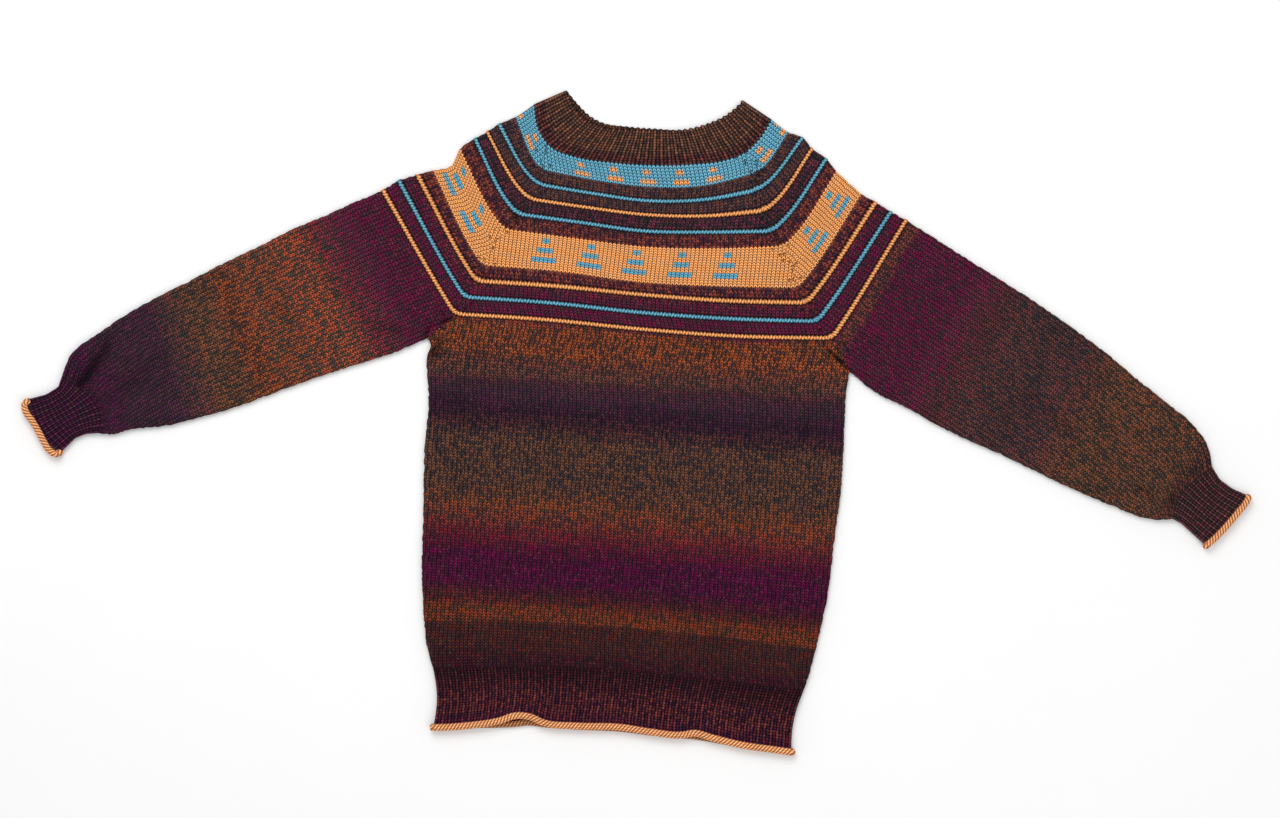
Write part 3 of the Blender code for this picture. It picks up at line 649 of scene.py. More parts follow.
def sleeve_rows(join, hand):
    """Every course of a sleeve and its row, from seam or underarm to the upper fold."""
    table = SLEEVE_ROWS[hand]
    seam = Border(yoke_column("course"), yoke_column(hand + "_seam"))
    folds = yoke_column(hand + "_fold") + [row[2:4] for row in table]
    unders = [seam.points[-1]] + [row[0:2] for row in table]
    middles = (np.array(unders, float) + np.array(folds[-len(unders):], float)) / 2
    steps = np.linalg.norm(np.diff(middles, axis=0), axis=1)
    low_courses = list(ARMPIT + np.concatenate(([0.0], np.cumsum(steps))) / COURSE)
    all_courses = yoke_column("course") + low_courses[1:]
    fold = Border(all_courses, folds)
    under = Border(low_courses, unders)
    bows = [0.0] * len(YOKE_ROWS) + [row[4] for row in table]
    laid = [LAID_HEIGHT] * len(YOKE_ROWS) + [row[5] for row in table]
    heights = yoke_column("fold_height") + [row[6] for row in table]
    left_mark, right_mark = raglan_marks(join)
    neck_line = join.part(left_mark, 0.0) if hand == "left" else join.part(right_mark, join.length)
    towards_body = np.array([1.0 if hand == "left" else -1.0, 0.0])
    last = low_courses[-1]
    courses = course_list(last)
    first_line = Line([seam.at_course(0), fold.at_course(0)], smooth=False)
    rows = []
    steps = uneven(2 * len(courses), 5 if hand == "left" else 8).reshape(-1, 2)
    for course, (under_step, upper_step) in zip(courses, steps):
        start = seam.at_course(course) if course <= ARMPIT else under.at_course(course)
        end = fold.at_course(course)
        bow = np.interp(course, all_courses, bows)
        out = np.interp(course, *YOKE_SLEEVE_BOW)
        span = end - start
        outward = np.array([-span[1], span[0]]) / np.linalg.norm(span) * towards_body[0]
        places = zip((0.25, 0.5, 0.75), (out, out, out / 2), (bow * 0.75, bow, bow * 0.75))
        middle = [start + span * share + outward * push + towards_body * pull
                  for share, push, pull in places]
        line = Line([start, *middle, end])
        line = fitted(line, first_line, neck_line, course)
        if course <= ARMPIT:
            line = rounded(line, (seam, None), course)
        if BLUE_BAND[1] < course < last - PLAIN_END:
            under_step = under_step + SEAM_INSET if course > ARMPIT + 1 else 0.0
            line = line.part(under_step, line.length - FOLD_INSET - upper_step)
        height, laid_height = (np.interp(course, all_courses, column) for column in (heights, laid))
        under_fold = ease((course - ARMPIT) / (low_courses[1] - ARMPIT))
        rows.append(Row(line, height, laid_height, start_fold=under_fold))
    return courses, rows


def surface_normals(grid):
    """Unit normals of a grid of points; which side they are on depends on how the grid runs."""
    down = np.gradient(grid, axis=0)
    across = np.gradient(grid, axis=1)
    normal = np.cross(down, across)
    return normal / np.maximum(np.linalg.norm(normal, axis=2, keepdims=True), 1e-9)


def raised(grid, amount, upwards):
    """The grid moved out by an amount along its normals; upwards is the outward side at one top point."""
    normal = surface_normals(grid)
    sign = np.sign(normal[upwards][2])
    return grid + normal * sign * amount[..., None]


def row_distances(grid, centre=None):
    """Distance along each row of a grid, from its middle or from one of its columns."""
    steps = np.linalg.norm(np.diff(grid, axis=1), axis=2)
    distance = np.concatenate((np.zeros((len(grid), 1)), np.cumsum(steps, axis=1)), axis=1)
    zero = distance[:, -1:] / 2 if centre is None else distance[:, centre:centre + 1]
    return distance - zero


def add_mesh(name, vertices, faces, groups, maps, material):
    """A smooth mesh from points in millimetres, sharp where two groups of faces meet."""
    points = (vertices + np.array([*PLAN_SHIFT, 0.0])) * MM
    halves = [[face[0], face[2], face[3]] for face in faces if len(face) == 4]
    corners = points[np.array([face[:3] for face in faces] + halves)]
    volume = np.einsum("ij,ij->", corners[:, 0], np.cross(corners[:, 1], corners[:, 2]))
    if volume < 0:
        faces = [face[::-1] for face in faces]
    mesh = bpy.data.meshes.new(name)
    mesh.from_pydata(points.tolist(), [], faces)
    mesh.shade_smooth()
    loops = np.empty(len(mesh.loops), int)
    mesh.loops.foreach_get("vertex_index", loops)
    edges = np.empty(len(mesh.loops), int)
    mesh.loops.foreach_get("edge_index", edges)
    sizes = [len(face) for face in faces]
    of_loop = np.repeat(np.array(groups), sizes)
    lowest = np.full(len(mesh.edges), max(groups))
    highest = np.zeros(len(mesh.edges), int)
    np.minimum.at(lowest, edges, of_loop)
    np.maximum.at(highest, edges, of_loop)
    mesh.edges.foreach_set("use_edge_sharp", lowest != highest)
    for map_name, values in maps.items():
        layer = mesh.uv_layers.new(name=map_name)
        layer.data.foreach_set("uv", values[loops].ravel())
    mesh.materials.append(material)
    piece = bpy.data.objects.new(name, mesh)
    bpy.context.scene.collection.objects.link(piece)
    return piece


def keys_of(count, every):
    """Every few numbers below a count, and the last one."""
    return sorted({*range(0, count, every), count - 1})


def add_wall(name, outer, inner, knit, painted_shade_and_seam, material, closed=False, every=4):
    """A closed wall between a fine outer face and an inner one that keeps every few points.

    Its second map holds painted shade, deepest where a point lies in a hollow, and how near the point is to
    a raglan seam.
    """
    rows, columns = outer.shape[:2]
    row_keys = keys_of(rows, every)
    column_keys = list(range(0, columns, every)) if closed else keys_of(columns, every)
    inside = inner[np.ix_(row_keys, column_keys)]
    inner_rows, inner_columns = inside.shape[:2]
    vertices = np.concatenate((outer.reshape(-1, 3), inside.reshape(-1, 3)))
    inside_knit = knit[np.ix_(row_keys, column_keys)]
    # The inner face gets at least the painted shade of the inner side, INSIDE_SHADE.
    inside_painted_shade_and_seam = np.maximum(painted_shade_and_seam[np.ix_(row_keys, column_keys)], (INSIDE_SHADE, 0.0))
    maps = {"knit": np.concatenate((knit.reshape(-1, 2), inside_knit.reshape(-1, 2))),
            "painted_shade_and_seam": np.concatenate((painted_shade_and_seam.reshape(-1, 2), inside_painted_shade_and_seam.reshape(-1, 2)))}
    start = rows * columns
    faces, groups = [], []

    def add_grid(height, width, offset, turned, group):
        index = offset + np.arange(height * width).reshape(height, width)
        if closed:
            index = np.concatenate((index, index[:, :1]), axis=1)
        corners = [index[:-1, :-1], index[1:, :-1], index[1:, 1:], index[:-1, 1:]]
        if turned:
            corners.reverse()
        faces.extend(np.stack([corner.ravel() for corner in corners], axis=1).tolist())
        groups.extend([group] * (index.shape[0] - 1) * (index.shape[1] - 1))

    def add_rim(fine, fine_keys, coarse, turned):
        for step in range(len(coarse) - 1):
            run = fine[fine_keys[step]:fine_keys[step + 1] + 1]
            made = [[coarse[step], run[place + 1], run[place]] for place in range(len(run) - 1)]
            made.append([coarse[step], coarse[step + 1], run[-1]])
            faces.extend([face[::-1] for face in made] if turned else made)
            groups.extend([2] * len(made))

    add_grid(rows, columns, 0, False, 0)
    add_grid(inner_rows, inner_columns, start, True, 1)
    outside = np.arange(start).reshape(rows, columns)
    within = start + np.arange(inner_rows * inner_columns).reshape(inner_rows, inner_columns)
    if closed:
        outside = np.concatenate((outside, outside[:, :1]), axis=1)
        within = np.concatenate((within, within[:, :1]), axis=1)
        column_keys = column_keys + [columns]
    add_rim(outside[0].tolist(), column_keys, within[0].tolist(), False)
    add_rim(outside[-1].tolist(), column_keys, within[-1].tolist(), True)
    if not closed:
        add_rim(outside[:, 0].tolist(), row_keys, within[:, 0].tolist(), True)
        add_rim(outside[:, -1].tolist(), row_keys, within[:, -1].tolist(), False)
    return add_mesh(name, vertices, faces, groups, maps, material)


def stacked(pairs):
    """Two grids from a list of rows' outer and inner points."""
    return np.array([pair[0] for pair in pairs]), np.array([pair[1] for pair in pairs])


def knit_map(distance, courses, shift):
    """Wale and course at each point, by its distance along the row."""
    courses = np.repeat(np.array(courses)[:, None], distance.shape[1], axis=1)
    return np.stack((distance / STITCH + shift, courses), axis=2)


def near_seam(distance, courses):
    """1 on a raglan seam and 0 past the reach of its shaping, by the distance from it."""
    in_yoke = (np.array(courses) < ARMPIT)[:, None]
    return np.clip(1 - np.abs(distance) / SEAM_REACH, 0, 1) * in_yoke


def cord_heights(courses, where):
    """Height that the cords add to each course, where a layer of ones or a mask says."""
    return np.array([cord_relief(course) for course in courses])[:, None] * where


def build_panel(layer, courses, rows, material):
    """The front or the back, yoke and body in one."""
    on_front = layer == "front"
    side = 1 if on_front else -1
    count = FRONT_COLUMNS if on_front else FRONT_COLUMNS // 2
    outer, inner = stacked([row.layer(side, count) for row in rows])
    knit = knit_map(side * row_distances(outer), courses, PANEL_SHIFT)
    from_ends = row_distances(outer, 0)
    from_ends = np.minimum(from_ends, from_ends[:, -1:] - from_ends)
    # Painted shade in the creases' troughs, and nearness to the raglan seams for the pinholes
    painted_shade_and_seam = np.stack((hollows(outer, on_front), near_seam(from_ends, courses)), axis=2)
    if on_front:
        relief = cord_heights(courses, np.ones(outer.shape[:2]))
        outer = raised(outer, relief, (0, outer.shape[1] // 2))
    return add_wall("knit_" + layer, outer, inner, knit, painted_shade_and_seam, material)


def build_sleeve(hand, courses, rows, material):
    """A sleeve as a tube pressed flat, gathered into ribs where it runs into the cuff."""
    outer, inner = stacked([row.wrapped(row, SLEEVE_COLUMNS, SLEEVE_COLUMNS // 2, False) for row in rows])
    fold = 2 * len(FOLD_TURN) + SLEEVE_COLUMNS - 2
    knit = knit_map(-row_distances(outer, fold), courses, SLEEVE_SHIFTS[hand])
    front = (np.arange(outer.shape[1]) <= fold)[None, :]
    relief = cord_heights(courses, front)
    distance = row_distances(outer, 0)
    gather = ease((np.array(courses) - courses[-1] + GATHER_REACH) / GATHER_REACH)[:, None]
    ridge = rib_relief(distance / distance[:, fold:fold + 1], CUFF_RIBS)
    relief = relief + gather * ridge * front
    # Painted shade in the hollows and in the furrows where the sleeve gathers into the cuff
    hollow = np.maximum(hollows(outer, front), gather * (0.5 - 0.5 * ridge / RIB_RELIEF))
    painted_shade_and_seam = np.stack((hollow, near_seam(distance, courses)), axis=2)
    outer = raised(outer, relief, (0, len(FOLD_TURN) + SLEEVE_COLUMNS // 2))
    return add_wall("knit_sleeve_" + hand, outer, inner, knit, painted_shade_and_seam, material)


def rib_relief(shares, ribs):
    """Raised ribs over a front layer: shares run from 0 to 1 along it."""
    return RIB_RELIEF * (0.5 - 0.5 * np.cos(2 * math.pi * shares * ribs))


def rib_knit(shares, ribs, courses):
    """The rib's number and the course at each point."""
    return np.stack((shares * ribs, np.repeat(courses[:, None], shares.shape[1], axis=1)), axis=2)


def shares_to(outer, last):
    """How far along its row each point lies, as a share of the way to one column."""
    distance = row_distances(outer)
    distance -= distance[:, :1]
    return distance / distance[:, last][:, None]


def furrows(ridge, shade):
    """Painted shade in the furrows between ridges."""
    return shade - shade * ridge / RIB_RELIEF


def rib_section(table, level):
    """Laid height, fold height and lift at a share of the way down a rib."""
    table = np.array(table)
    return [np.interp(level, table[:, 0], table[:, column]) for column in (1, 2, 3)]


def rib_ring(pairs, ribs, courses, shade):
    """A ring of rib: its raised outer face, its inner one, both maps and its ridges."""
    outer, inner = stacked(pairs)
    front_last = 2 * len(FOLD_TURN) + RIB_COLUMNS * ribs - 2
    shares = shares_to(outer, front_last)
    ridge = rib_relief(shares, ribs)
    painted_shade_and_seam = np.stack((furrows(ridge, shade), np.zeros_like(ridge)), axis=2)
    on_front = np.arange(outer.shape[1])[None, :] <= front_last
    outer = raised(outer, ridge * on_front, (6, front_last // 2))
    return outer, inner, rib_knit(shares, ribs, courses), painted_shade_and_seam, ridge


def build_neckband(join, edge, back_edge, material):
    """The neckband as a ring, bound off in small scallops at its upper edge."""
    levels = np.linspace(0, 1, 13)
    counts = RIB_COLUMNS * NECK_RIBS, RIB_COLUMNS // 2 * NECK_RIBS
    pairs = []
    for level in levels:
        front = Row(line_between(join, edge, level), LAID_HEIGHT)
        back = Row(line_between(join, back_edge, level), LAID_HEIGHT)
        pairs.append(front.wrapped(back, *counts, True))
    outer, inner, knit, painted_shade_and_seam, ridge = rib_ring(pairs, NECK_RIBS, NECK_COURSES * (1 - levels), NECK_SHADE)
    ahead = outer[-1] - outer[-2]
    ahead[:, 2] = 0
    ahead /= np.linalg.norm(ahead, axis=1, keepdims=True)
    scallop = BIND_OFF * (ridge[-1] / RIB_RELIEF - 0.4)[:, None] * ahead
    for faces in (outer, inner):
        faces[-1] += scallop
    return add_wall("rib_neck", outer, inner, knit, painted_shade_and_seam, material, closed=True, every=2)


def hem_lines():
    """Centre lines of the hem's front and back rolls, from left to right."""
    table = np.array(HEM_WAVES, float)
    start, end = np.array(HEM_LEFT_END, float), np.array(HEM_RIGHT_END, float)
    up = np.array([start[1] - end[1], end[0] - start[0]]) / np.linalg.norm(end - start)
    chord = start + table[:, 0:1] * (end - start)
    return Line(chord + up * table[:, 1:2]), Line(chord + up * table[:, 2:3])


def build_hem(join, material):
    """The front and back halves of the hem's rib."""
    pieces = []
    levels = np.linspace(0, 1, 19)
    for layer, side, roll in zip(("front", "back"), (1, -1), hem_lines()):
        end = roll.shifted(HEM_ROLL_HALF_WIDTH - ROLL_OVERLAP)
        end = end.part(ROLL_END_TUCK, roll.length - ROLL_END_TUCK)
        pairs = []
        for level in levels:
            laid, fold_height, lift = rib_section(HEM_LEVELS, level)
            drawn = HEM_DRAW_IN * math.sin(math.pi * level)
            line = line_between(join, end, level, 2 * LINE_STEPS)
            row = Row(line.part(drawn, line.length - drawn), fold_height, laid, lift)
            pairs.append(row.layer(side, RIB_COLUMNS * HEM_RIBS))
        outer, inner = stacked(pairs)
        shares = shares_to(outer, -1)
        ridge = rib_relief(shares, HEM_RIBS) * ease(levels / HEM_RIB_START)[:, None]
        # Painted shade in the rib's furrows and in the hollows
        hollow = np.maximum(furrows(ridge, HEM_SHADE), hollows(outer, side > 0))
        painted_shade_and_seam = np.stack((hollow, np.zeros_like(ridge)), axis=2)
        knit = rib_knit(shares, HEM_RIBS, levels * HEM_COURSES)
        if side > 0:
            outer = raised(outer, ridge, (9, outer.shape[1] // 2))
        pieces.append(add_wall("rib_hem_" + layer, outer, inner, knit, painted_shade_and_seam, material))
    return pieces


def build_cuff(hand, join, material):
    """A cuff's rib as a ring pressed flat, through the rows of its table."""
    lines = [join] + [Line(np.reshape(points, (3, 2))) for points in CUFF_ROWS[hand]]
    places = [row[0] for row in CUFF_LEVELS]
    levels = np.linspace(0, 1, 14)
    pairs = []
    for level in levels:
        step = min(int(np.searchsorted(places, level, side="right")) - 1, 2)
        share = (level - places[step]) / (places[step + 1] - places[step])
        laid, fold_height, lift = rib_section(CUFF_LEVELS, level)
        row = Row(line_between(lines[step], lines[step + 1], share), fold_height, laid, lift)
        pairs.append(row.wrapped(row, RIB_COLUMNS * CUFF_RIBS, RIB_COLUMNS // 2 * CUFF_RIBS, True))
    outer, inner, knit, painted_shade_and_seam, _ = rib_ring(pairs, CUFF_RIBS, levels * CUFF_COURSES, CUFF_SHADE)
    return add_wall("rib_cuff_" + hand, outer, inner, knit, painted_shade_and_seam, material, closed=True, every=2)


def build_roll(name, front_line, back_line, half_width, material):
    """A rolled edge: a closed ring whose upper run lies on its lower run."""
    lower_z = ROLL_LOWER_HALF
    upper_z = 2 * ROLL_LOWER_HALF + ROLL_GAP + ROLL_UPPER_HALF
    turn_radius = (upper_z - lower_z) / 2
    inset = turn_radius + (ROLL_UPPER_HALF + ROLL_LOWER_HALF) / 2
    last = front_line.length - inset
    count = int((last - inset) / ROLL_STEP)
    path = [(place, 90.0, 0) for place in np.linspace(inset, last, count + 1)]
    path += [(last, angle, 1) for angle in reversed(ROLL_TURN)]
    path += [(place, -90.0, 0) for place in np.linspace(last, inset, count // 2 + 1)]
    path += [(inset, angle, -1) for angle in ROLL_TURN]
    around = 2 * math.pi * (np.arange(ROLL_SIDES) + 0.5) / ROLL_SIDES
    rings, maps, shades = [], [], []
    run = 0.0
    for index, (distance, angle, heading) in enumerate(path):
        tilt = math.radians(angle)
        weight = (1 + math.sin(tilt)) / 2
        half = ROLL_LOWER_HALF + (ROLL_UPPER_HALF - ROLL_LOWER_HALF) * weight
        sideways = half_width * np.cos(around)
        outward = turn_radius + half * np.sin(around)
        share_along = (distance + heading * outward * math.cos(tilt)) / front_line.length
        plan = np.zeros((ROLL_SIDES, 2))
        for line, share in ((back_line, 1 - weight), (front_line, weight)):
            place = share_along * line.length
            plan += share * (line.at(place) + sideways[:, None] * line.normal(place))
        height = (upper_z + lower_z) / 2 + outward * math.sin(tilt)
        rings.append(np.column_stack((plan, height)))
        if index:
            run += np.linalg.norm(rings[-1].mean(axis=0) - rings[-2].mean(axis=0))
        rows_round = around / (2 * math.pi) * ROLL_ROWS
        maps.append(np.column_stack((np.full(ROLL_SIDES, run / STITCH), rows_round)))
        # Painted shade darkens the roll's lower run, below the upper one
        shades.append(np.full((ROLL_SIDES, 2), (UNDER_SHADE * (1 - weight), 0.0)))
    vertices = np.concatenate(rings)
    faces = []
    for index in range(len(rings)):
        here = index * ROLL_SIDES
        there = (index + 1) % len(rings) * ROLL_SIDES
        for side in range(ROLL_SIDES):
            other = (side + 1) % ROLL_SIDES
            faces.append([here + side, there + side, there + other, here + other])
    both = {"knit": np.concatenate(maps), "painted_shade_and_seam": np.concatenate(shades)}
    return add_mesh(name, vertices, faces, [0] * len(faces), both, material)


def linear(*values):
    """A linear colour from red, green and blue of 0 to 255."""
    shares = [value / 255 for value in values]
    return [share / 12.92 if share <= 0.04045 else ((share + 0.055) / 1.055) ** 2.4 for share in shares]


# How the marled wool's strand is chosen, by leg, by stitch and by streak, and how brown its flecks are
LEG_WEIGHT = 3.2
STITCH_WEIGHT = 0.8
STREAK_WEIGHT = 1.4
SHARE_START = -2.25
BROWN_SHARE = 0.3

# Cords in the materials, in courses, their painted shadow, and the pinholes along the raglan seams
CORD_REACH = 1.25
CORD_WAVE = -0.16
CORD_HALF = 0.72
CORD_SLANT = 2.6
CORD_SHADOW = -0.5
HOLE_CHANCE = 0.22
HOLE_HALF_WIDTH = 0.24
HOLE_SHADE = -0.8
NEAR_SEAM = 0.02

# Trees: the course that they start at, the courses of a tier, and the tiers
BLUE_TIERS = (BLUE_BAND[0] + 0.2, 3, 2)
ORANGE_TIERS = (ORANGE_BAND[0] + 0.1, 4, 3)

# Trees of each piece, in stitches: spacing, centre, reach
BODY_ORANGE_TREES = (11, 0, 27.5)
BODY_BLUE_TREES = (8, 1.5, 20)
LEFT_ORANGE_TREES = (10, 5, 20)
RIGHT_ORANGE_TREES = (10, 6, 20)
SLEEVE_BLUE_TREES = (8, 0, 13)

# Fibres and patches to a metre, the bump's depth in metres, the painted shade between stitches and the
# painted light on their raised legs
FIBRE_SCALE = 1400.0
PATCH_SCALE = 14.0
BUMP_DEPTH = 0.0009
SHADE_POWER = 2.4
SHADE_START = 0.07
KNIT_LIGHT = 1.9
RIB_LIGHT = 2.25
ROLL_LIGHT = 2.0

# Plain yarns and, by name, the coloured and the greyish strand of the marled wool, as red, green and
# blue of 0 to 255
BLUE = (88, 146, 168)
ORANGE = (214, 143, 86)
BROWN = (92, 60, 42)
ROLL_ORANGE = (226, 154, 104)
SHADES = {
    "slate": ((83, 51, 45), (46, 37, 46)),
    "dusk": ((79, 34, 49), (36, 32, 37)),
    "ember": ((110, 51, 41), (56, 29, 42)),
    "brick": ((119, 44, 43), (49, 29, 42)),
    "grape": ((86, 16, 50), (55, 30, 42)),
    "copper": ((131, 62, 33), (63, 42, 38)),
    "cocoa": ((106, 54, 42), (54, 40, 41)),
    "taupe": ((96, 54, 45), (54, 41, 42)),
    "heather": ((73, 33, 47), (48, 34, 39)),
    "mauve": ((63, 30, 51), (44, 33, 41)),
    "night": ((51, 18, 41), (33, 21, 34)),
    "ash": ((71, 36, 39), (33, 24, 36)),
    "stone": ((92, 57, 41), (46, 38, 42)),
    "sienna": ((116, 57, 33), (60, 44, 40)),
    "russet": ((118, 50, 34), (62, 39, 41)),
    "garnet": ((101, 27, 38), (65, 29, 39)),
    "wine": ((88, 12, 44), (56, 21, 39)),
    "plum": ((77, 8, 51), (49, 14, 39)),
    "claret": ((72, 19, 37), (47, 22, 32)),
    "mahogany": ((95, 31, 28), (51, 32, 33)),
    "rust": ((113, 45, 27), (63, 40, 31)),
    "bark": ((70, 28, 25), (45, 29, 33)),
    "coal": ((58, 14, 29), (38, 20, 29)),
    "rose": ((93, 22, 52), (61, 37, 47)),
    "coral": ((117, 39, 47), (55, 44, 46)),
    "amber": ((146, 64, 40), (68, 55, 49)),
    "caramel": ((130, 63, 40), (64, 53, 47)),
    "umber": ((104, 61, 42), (54, 46, 42)),
    "clay": ((89, 47, 47), (47, 42, 46)),
    "ink": ((70, 18, 53), (47, 29, 44)),
    "pewter": ((79, 46, 45), (44, 38, 43)),
    "iron": ((83, 36, 43), (54, 38, 41)),
    "violet": ((84, 22, 46), (50, 20, 44)),
    "walnut": ((106, 66, 49), (66, 48, 44)),
    "chestnut": ((92, 46, 42), (52, 32, 38)),
    "fleck": ((98, 42, 42), (50, 18, 40)),
    "thistle": ((86, 44, 49), (56, 43, 46)),
}

# Bands of the marled wool from the neckband down: course, shade
YOKE_BANDS = (
    (0, "slate"), (15, "slate"), (18, "dusk"), (23, "dusk"), (26, "ember"), (46, "ember"), (48, "brick"),
    (52, "grape"), (61, "grape"),
)
BODY_BANDS = YOKE_BANDS + (
    (63, "copper"), (72, "copper"), (76, "cocoa"), (80, "taupe"), (83, "heather"), (87.5, "mauve"),
    (93.5, "night"), (98.5, "ash"), (103.5, "stone"), (120, "stone"), (126, "sienna"), (131, "russet"),
    (137, "garnet"), (141.5, "wine"), (145.5, "plum"), (154, "plum"), (158, "claret"), (161.5, "mahogany"),
    (164, "rust"), (168.6, "rust"), (169.2, "bark"), (176, "bark"), (183, "coal"),
)
LEFT_BANDS = YOKE_BANDS[:-1] + (
    (72, "grape"), (78, "rose"), (87, "coral"), (95, "amber"), (104, "amber"), (110, "caramel"),
    (118, "caramel"), (126, "copper"), (134, "umber"), (141, "umber"), (149, "clay"), (157, "mauve"),
    (173, "mauve"), (180, "ink"), (190, "ink"),
)
RIGHT_BANDS = YOKE_BANDS + (
    (62.5, "cocoa"), (64, "cocoa"), (67.5, "grape"), (88, "grape"), (95, "rose"), (104, "iron"),
    (113, "clay"), (120, "pewter"), (130, "pewter"), (138, "clay"), (145, "taupe"), (154, "umber"),
    (187, "umber"), (194, "taupe"),
)
NECK_BANDS = ((0, "walnut"), (8, "walnut"), (10.5, "chestnut"), (13, "chestnut"))
HEM_BANDS = ((0, "coal"), (2, "coal"), (11, "fleck"), (15, "fleck"), (21, "violet"))
LEFT_CUFF_BANDS = ((0, "ink"), (14, "ink"))
RIGHT_CUFF_BANDS = ((0, "thistle"), (14, "thistle"))


def math_node(operation):
    """A method of Look that adds one kind of Math node."""
    def add(look, *values, clamp=False):
        return look.math(operation, *values, clamp=clamp)
    return add


class Look:
    """A material's nodes, with short ways to add them."""

    plus = math_node("ADD")
    minus = math_node("SUBTRACT")
    times = math_node("MULTIPLY")
    over = math_node("DIVIDE")
    graded = math_node("MULTIPLY_ADD")
    floor = math_node("FLOOR")
    fract = math_node("FRACT")
    size = math_node("ABSOLUTE")
    sine = math_node("SINE")
    cosine = math_node("COSINE")
    root = math_node("SQRT")
    most = math_node("MAXIMUM")
    power = math_node("POWER")
    below = math_node("LESS_THAN")
    above = math_node("GREATER_THAN")
    modulo = math_node("FLOORED_MODULO")

    def __init__(self, name):
        self.material = bpy.data.materials.new(name)
        self.material.use_nodes = True
        self.tree = self.material.node_tree
        self.shader = self.tree.nodes["Principled BSDF"]

    def feed(self, socket, value):
        if isinstance(value, bpy.types.NodeSocket):
            self.tree.links.new(value, socket)
        else:
            socket.default_value = value

    def node(self, kind, inputs=None, **settings):
        made = self.tree.nodes.new("ShaderNode" + kind)
        for setting, value in settings.items():
            setattr(made, setting, value)
        for key, value in (inputs or {}).items():
            self.feed(made.inputs[key], value)
        return made

    def math(self, operation, *values, clamp=False):
        made = self.node("Math", operation=operation, use_clamp=clamp)
        for socket, value in zip(made.inputs, values):
            self.feed(socket, value)
        return made.outputs[0]

    def map_parts(self, name):
        """Both parts of one of the mesh's two maps."""
        parts = self.node("SeparateXYZ", {0: self.node("UVMap", uv_map=name).outputs[0]})
        return parts.outputs[0], parts.outputs[1]

    def off_middle(self, value):
        """How far a value lies from the middle of its unit."""
        return self.size(self.minus(self.fract(value), 0.5))

    def chance(self, x, y, z=0.0):
        """A random number from 0 to 1, the same at every point with these numbers."""
        return self.node("TexWhiteNoise", {0: self.combine(x, y, z)}, noise_dimensions="3D").outputs[0]

    def noise(self, scale, detail, place=None):
        inputs = {"Scale": scale, "Detail": detail}
        if place is not None:
            inputs["Vector"] = place
        return self.node("TexNoise", inputs).outputs[0]

    def combine(self, x, y, z=0.0):
        return self.node("CombineXYZ", {0: x, 1: y, 2: z}).outputs[0]

    def mix(self, factor, first, second):
        made = self.node("Mix", {0: factor, 6: first, 7: second}, data_type="RGBA")
        return made.outputs[2]

    def scaled(self, colour, factor):
        sockets = {0: 1.0, 6: colour, 7: self.grey(factor)}
        return self.node("Mix", sockets, data_type="RGBA", blend_type="MULTIPLY").outputs[2]

    def grey(self, value):
        return self.node("CombineColor", {0: value, 1: value, 2: value}).outputs[0]

    def all_of(self, *values):
        result = values[0]
        for value in values[1:]:
            result = self.times(result, value)
        return result

    def within(self, value, low, high):
        """1 where low <= value < high."""
        return self.times(self.above(value, low - 0.001),
                         self.below(value, high - 0.001))

    def offset_from(self, value, centres, reach):
        """1 within reach of one of some centres, and how far past that centre the value is."""
        near, offset = 0.0, 0.0
        for centre in centres:
            away = self.minus(value, centre)
            close = self.below(self.size(away), reach)
            near = self.plus(near, close)
            offset = self.graded(away, close, offset)
        return near, offset

    def ramp(self, value, stops):
        """A colour that follows the value through stops of place and linear colour."""
        made = self.node("ValToRGB", {0: value})
        band = made.color_ramp
        while len(band.elements) < len(stops):
            band.elements.new(1.0)
        for element, (place, colour) in zip(band.elements, stops):
            element.position = place
            element.color = (*colour, 1.0)
        return made.outputs[0]


def plain(yarn):
    return (*linear(*yarn), 1.0)


def leg_shape(look, away, centre, half):
    """Height of a stitch's leg across it: 1 at its middle and 0 at its border."""
    across = look.over(look.minus(away, centre), half)
    return look.root(look.most(look.minus(1.0, look.all_of(across, across)), 0.0))


def row_shape(look, slanted):
    """Height of a stitch along its leg: 1 at its middle and 0 where the next one loops through."""
    along = look.minus(look.fract(slanted), 0.5)
    return look.minus(1.0, look.times(look.all_of(along, along), 4.0))


def stitch_nodes(look):
    """Wale, course, slanted course, row, its leg's height and its leg's number from the knit map."""
    wale, course = look.map_parts("knit")
    away = look.off_middle(wale)
    slanted = look.minus(course, look.times(away, 1.5))
    row = look.floor(slanted)
    across = leg_shape(look, away, 0.2, 0.3)
    leg = look.times(across, look.graded(row_shape(look, slanted), 0.65, 0.35))
    number = look.floor(look.times(wale, 2.0))
    return wale, course, slanted, row, leg, number


def marl_nodes(look, wale, row, number, bands, last):
    """Colour of the marled wool at each leg of each stitch."""
    leg_chance = look.chance(number, row)
    stitch = look.floor(look.times(number, 0.5))
    chance = look.chance(stitch, row, 3.0)
    streak_at = look.combine(look.times(wale, 0.22), look.times(row, 0.45), 2.0)
    streak = look.noise(1.0, 2.0, streak_at)
    drift_at = look.combine(look.times(wale, 0.06), look.times(row, 0.35), 5.0)
    drift = look.noise(1.0, 1.0, drift_at)
    place = look.graded(look.minus(drift, 0.5), 5.0, row)
    place = look.over(place, last)
    coloured, greyish = (
        look.ramp(place, [(course / last, linear(*SHADES[name][strand])) for course, name in bands])
        for strand in (0, 1))
    share = look.graded(leg_chance, LEG_WEIGHT, look.times(chance, STITCH_WEIGHT))
    share = look.plus(share, look.graded(streak, STREAK_WEIGHT, SHARE_START), clamp=True)
    lightness = look.graded(look.fract(look.times(leg_chance, 7.0)), 0.44, 0.78)
    brown = look.fract(look.times(leg_chance, 13.0))
    brown = look.times(look.graded(brown, 3.0, -2.1, clamp=True), BROWN_SHARE)
    colour = look.mix(brown, look.mix(share, greyish, coloured), plain(BROWN))
    return look.scaled(colour, lightness), chance


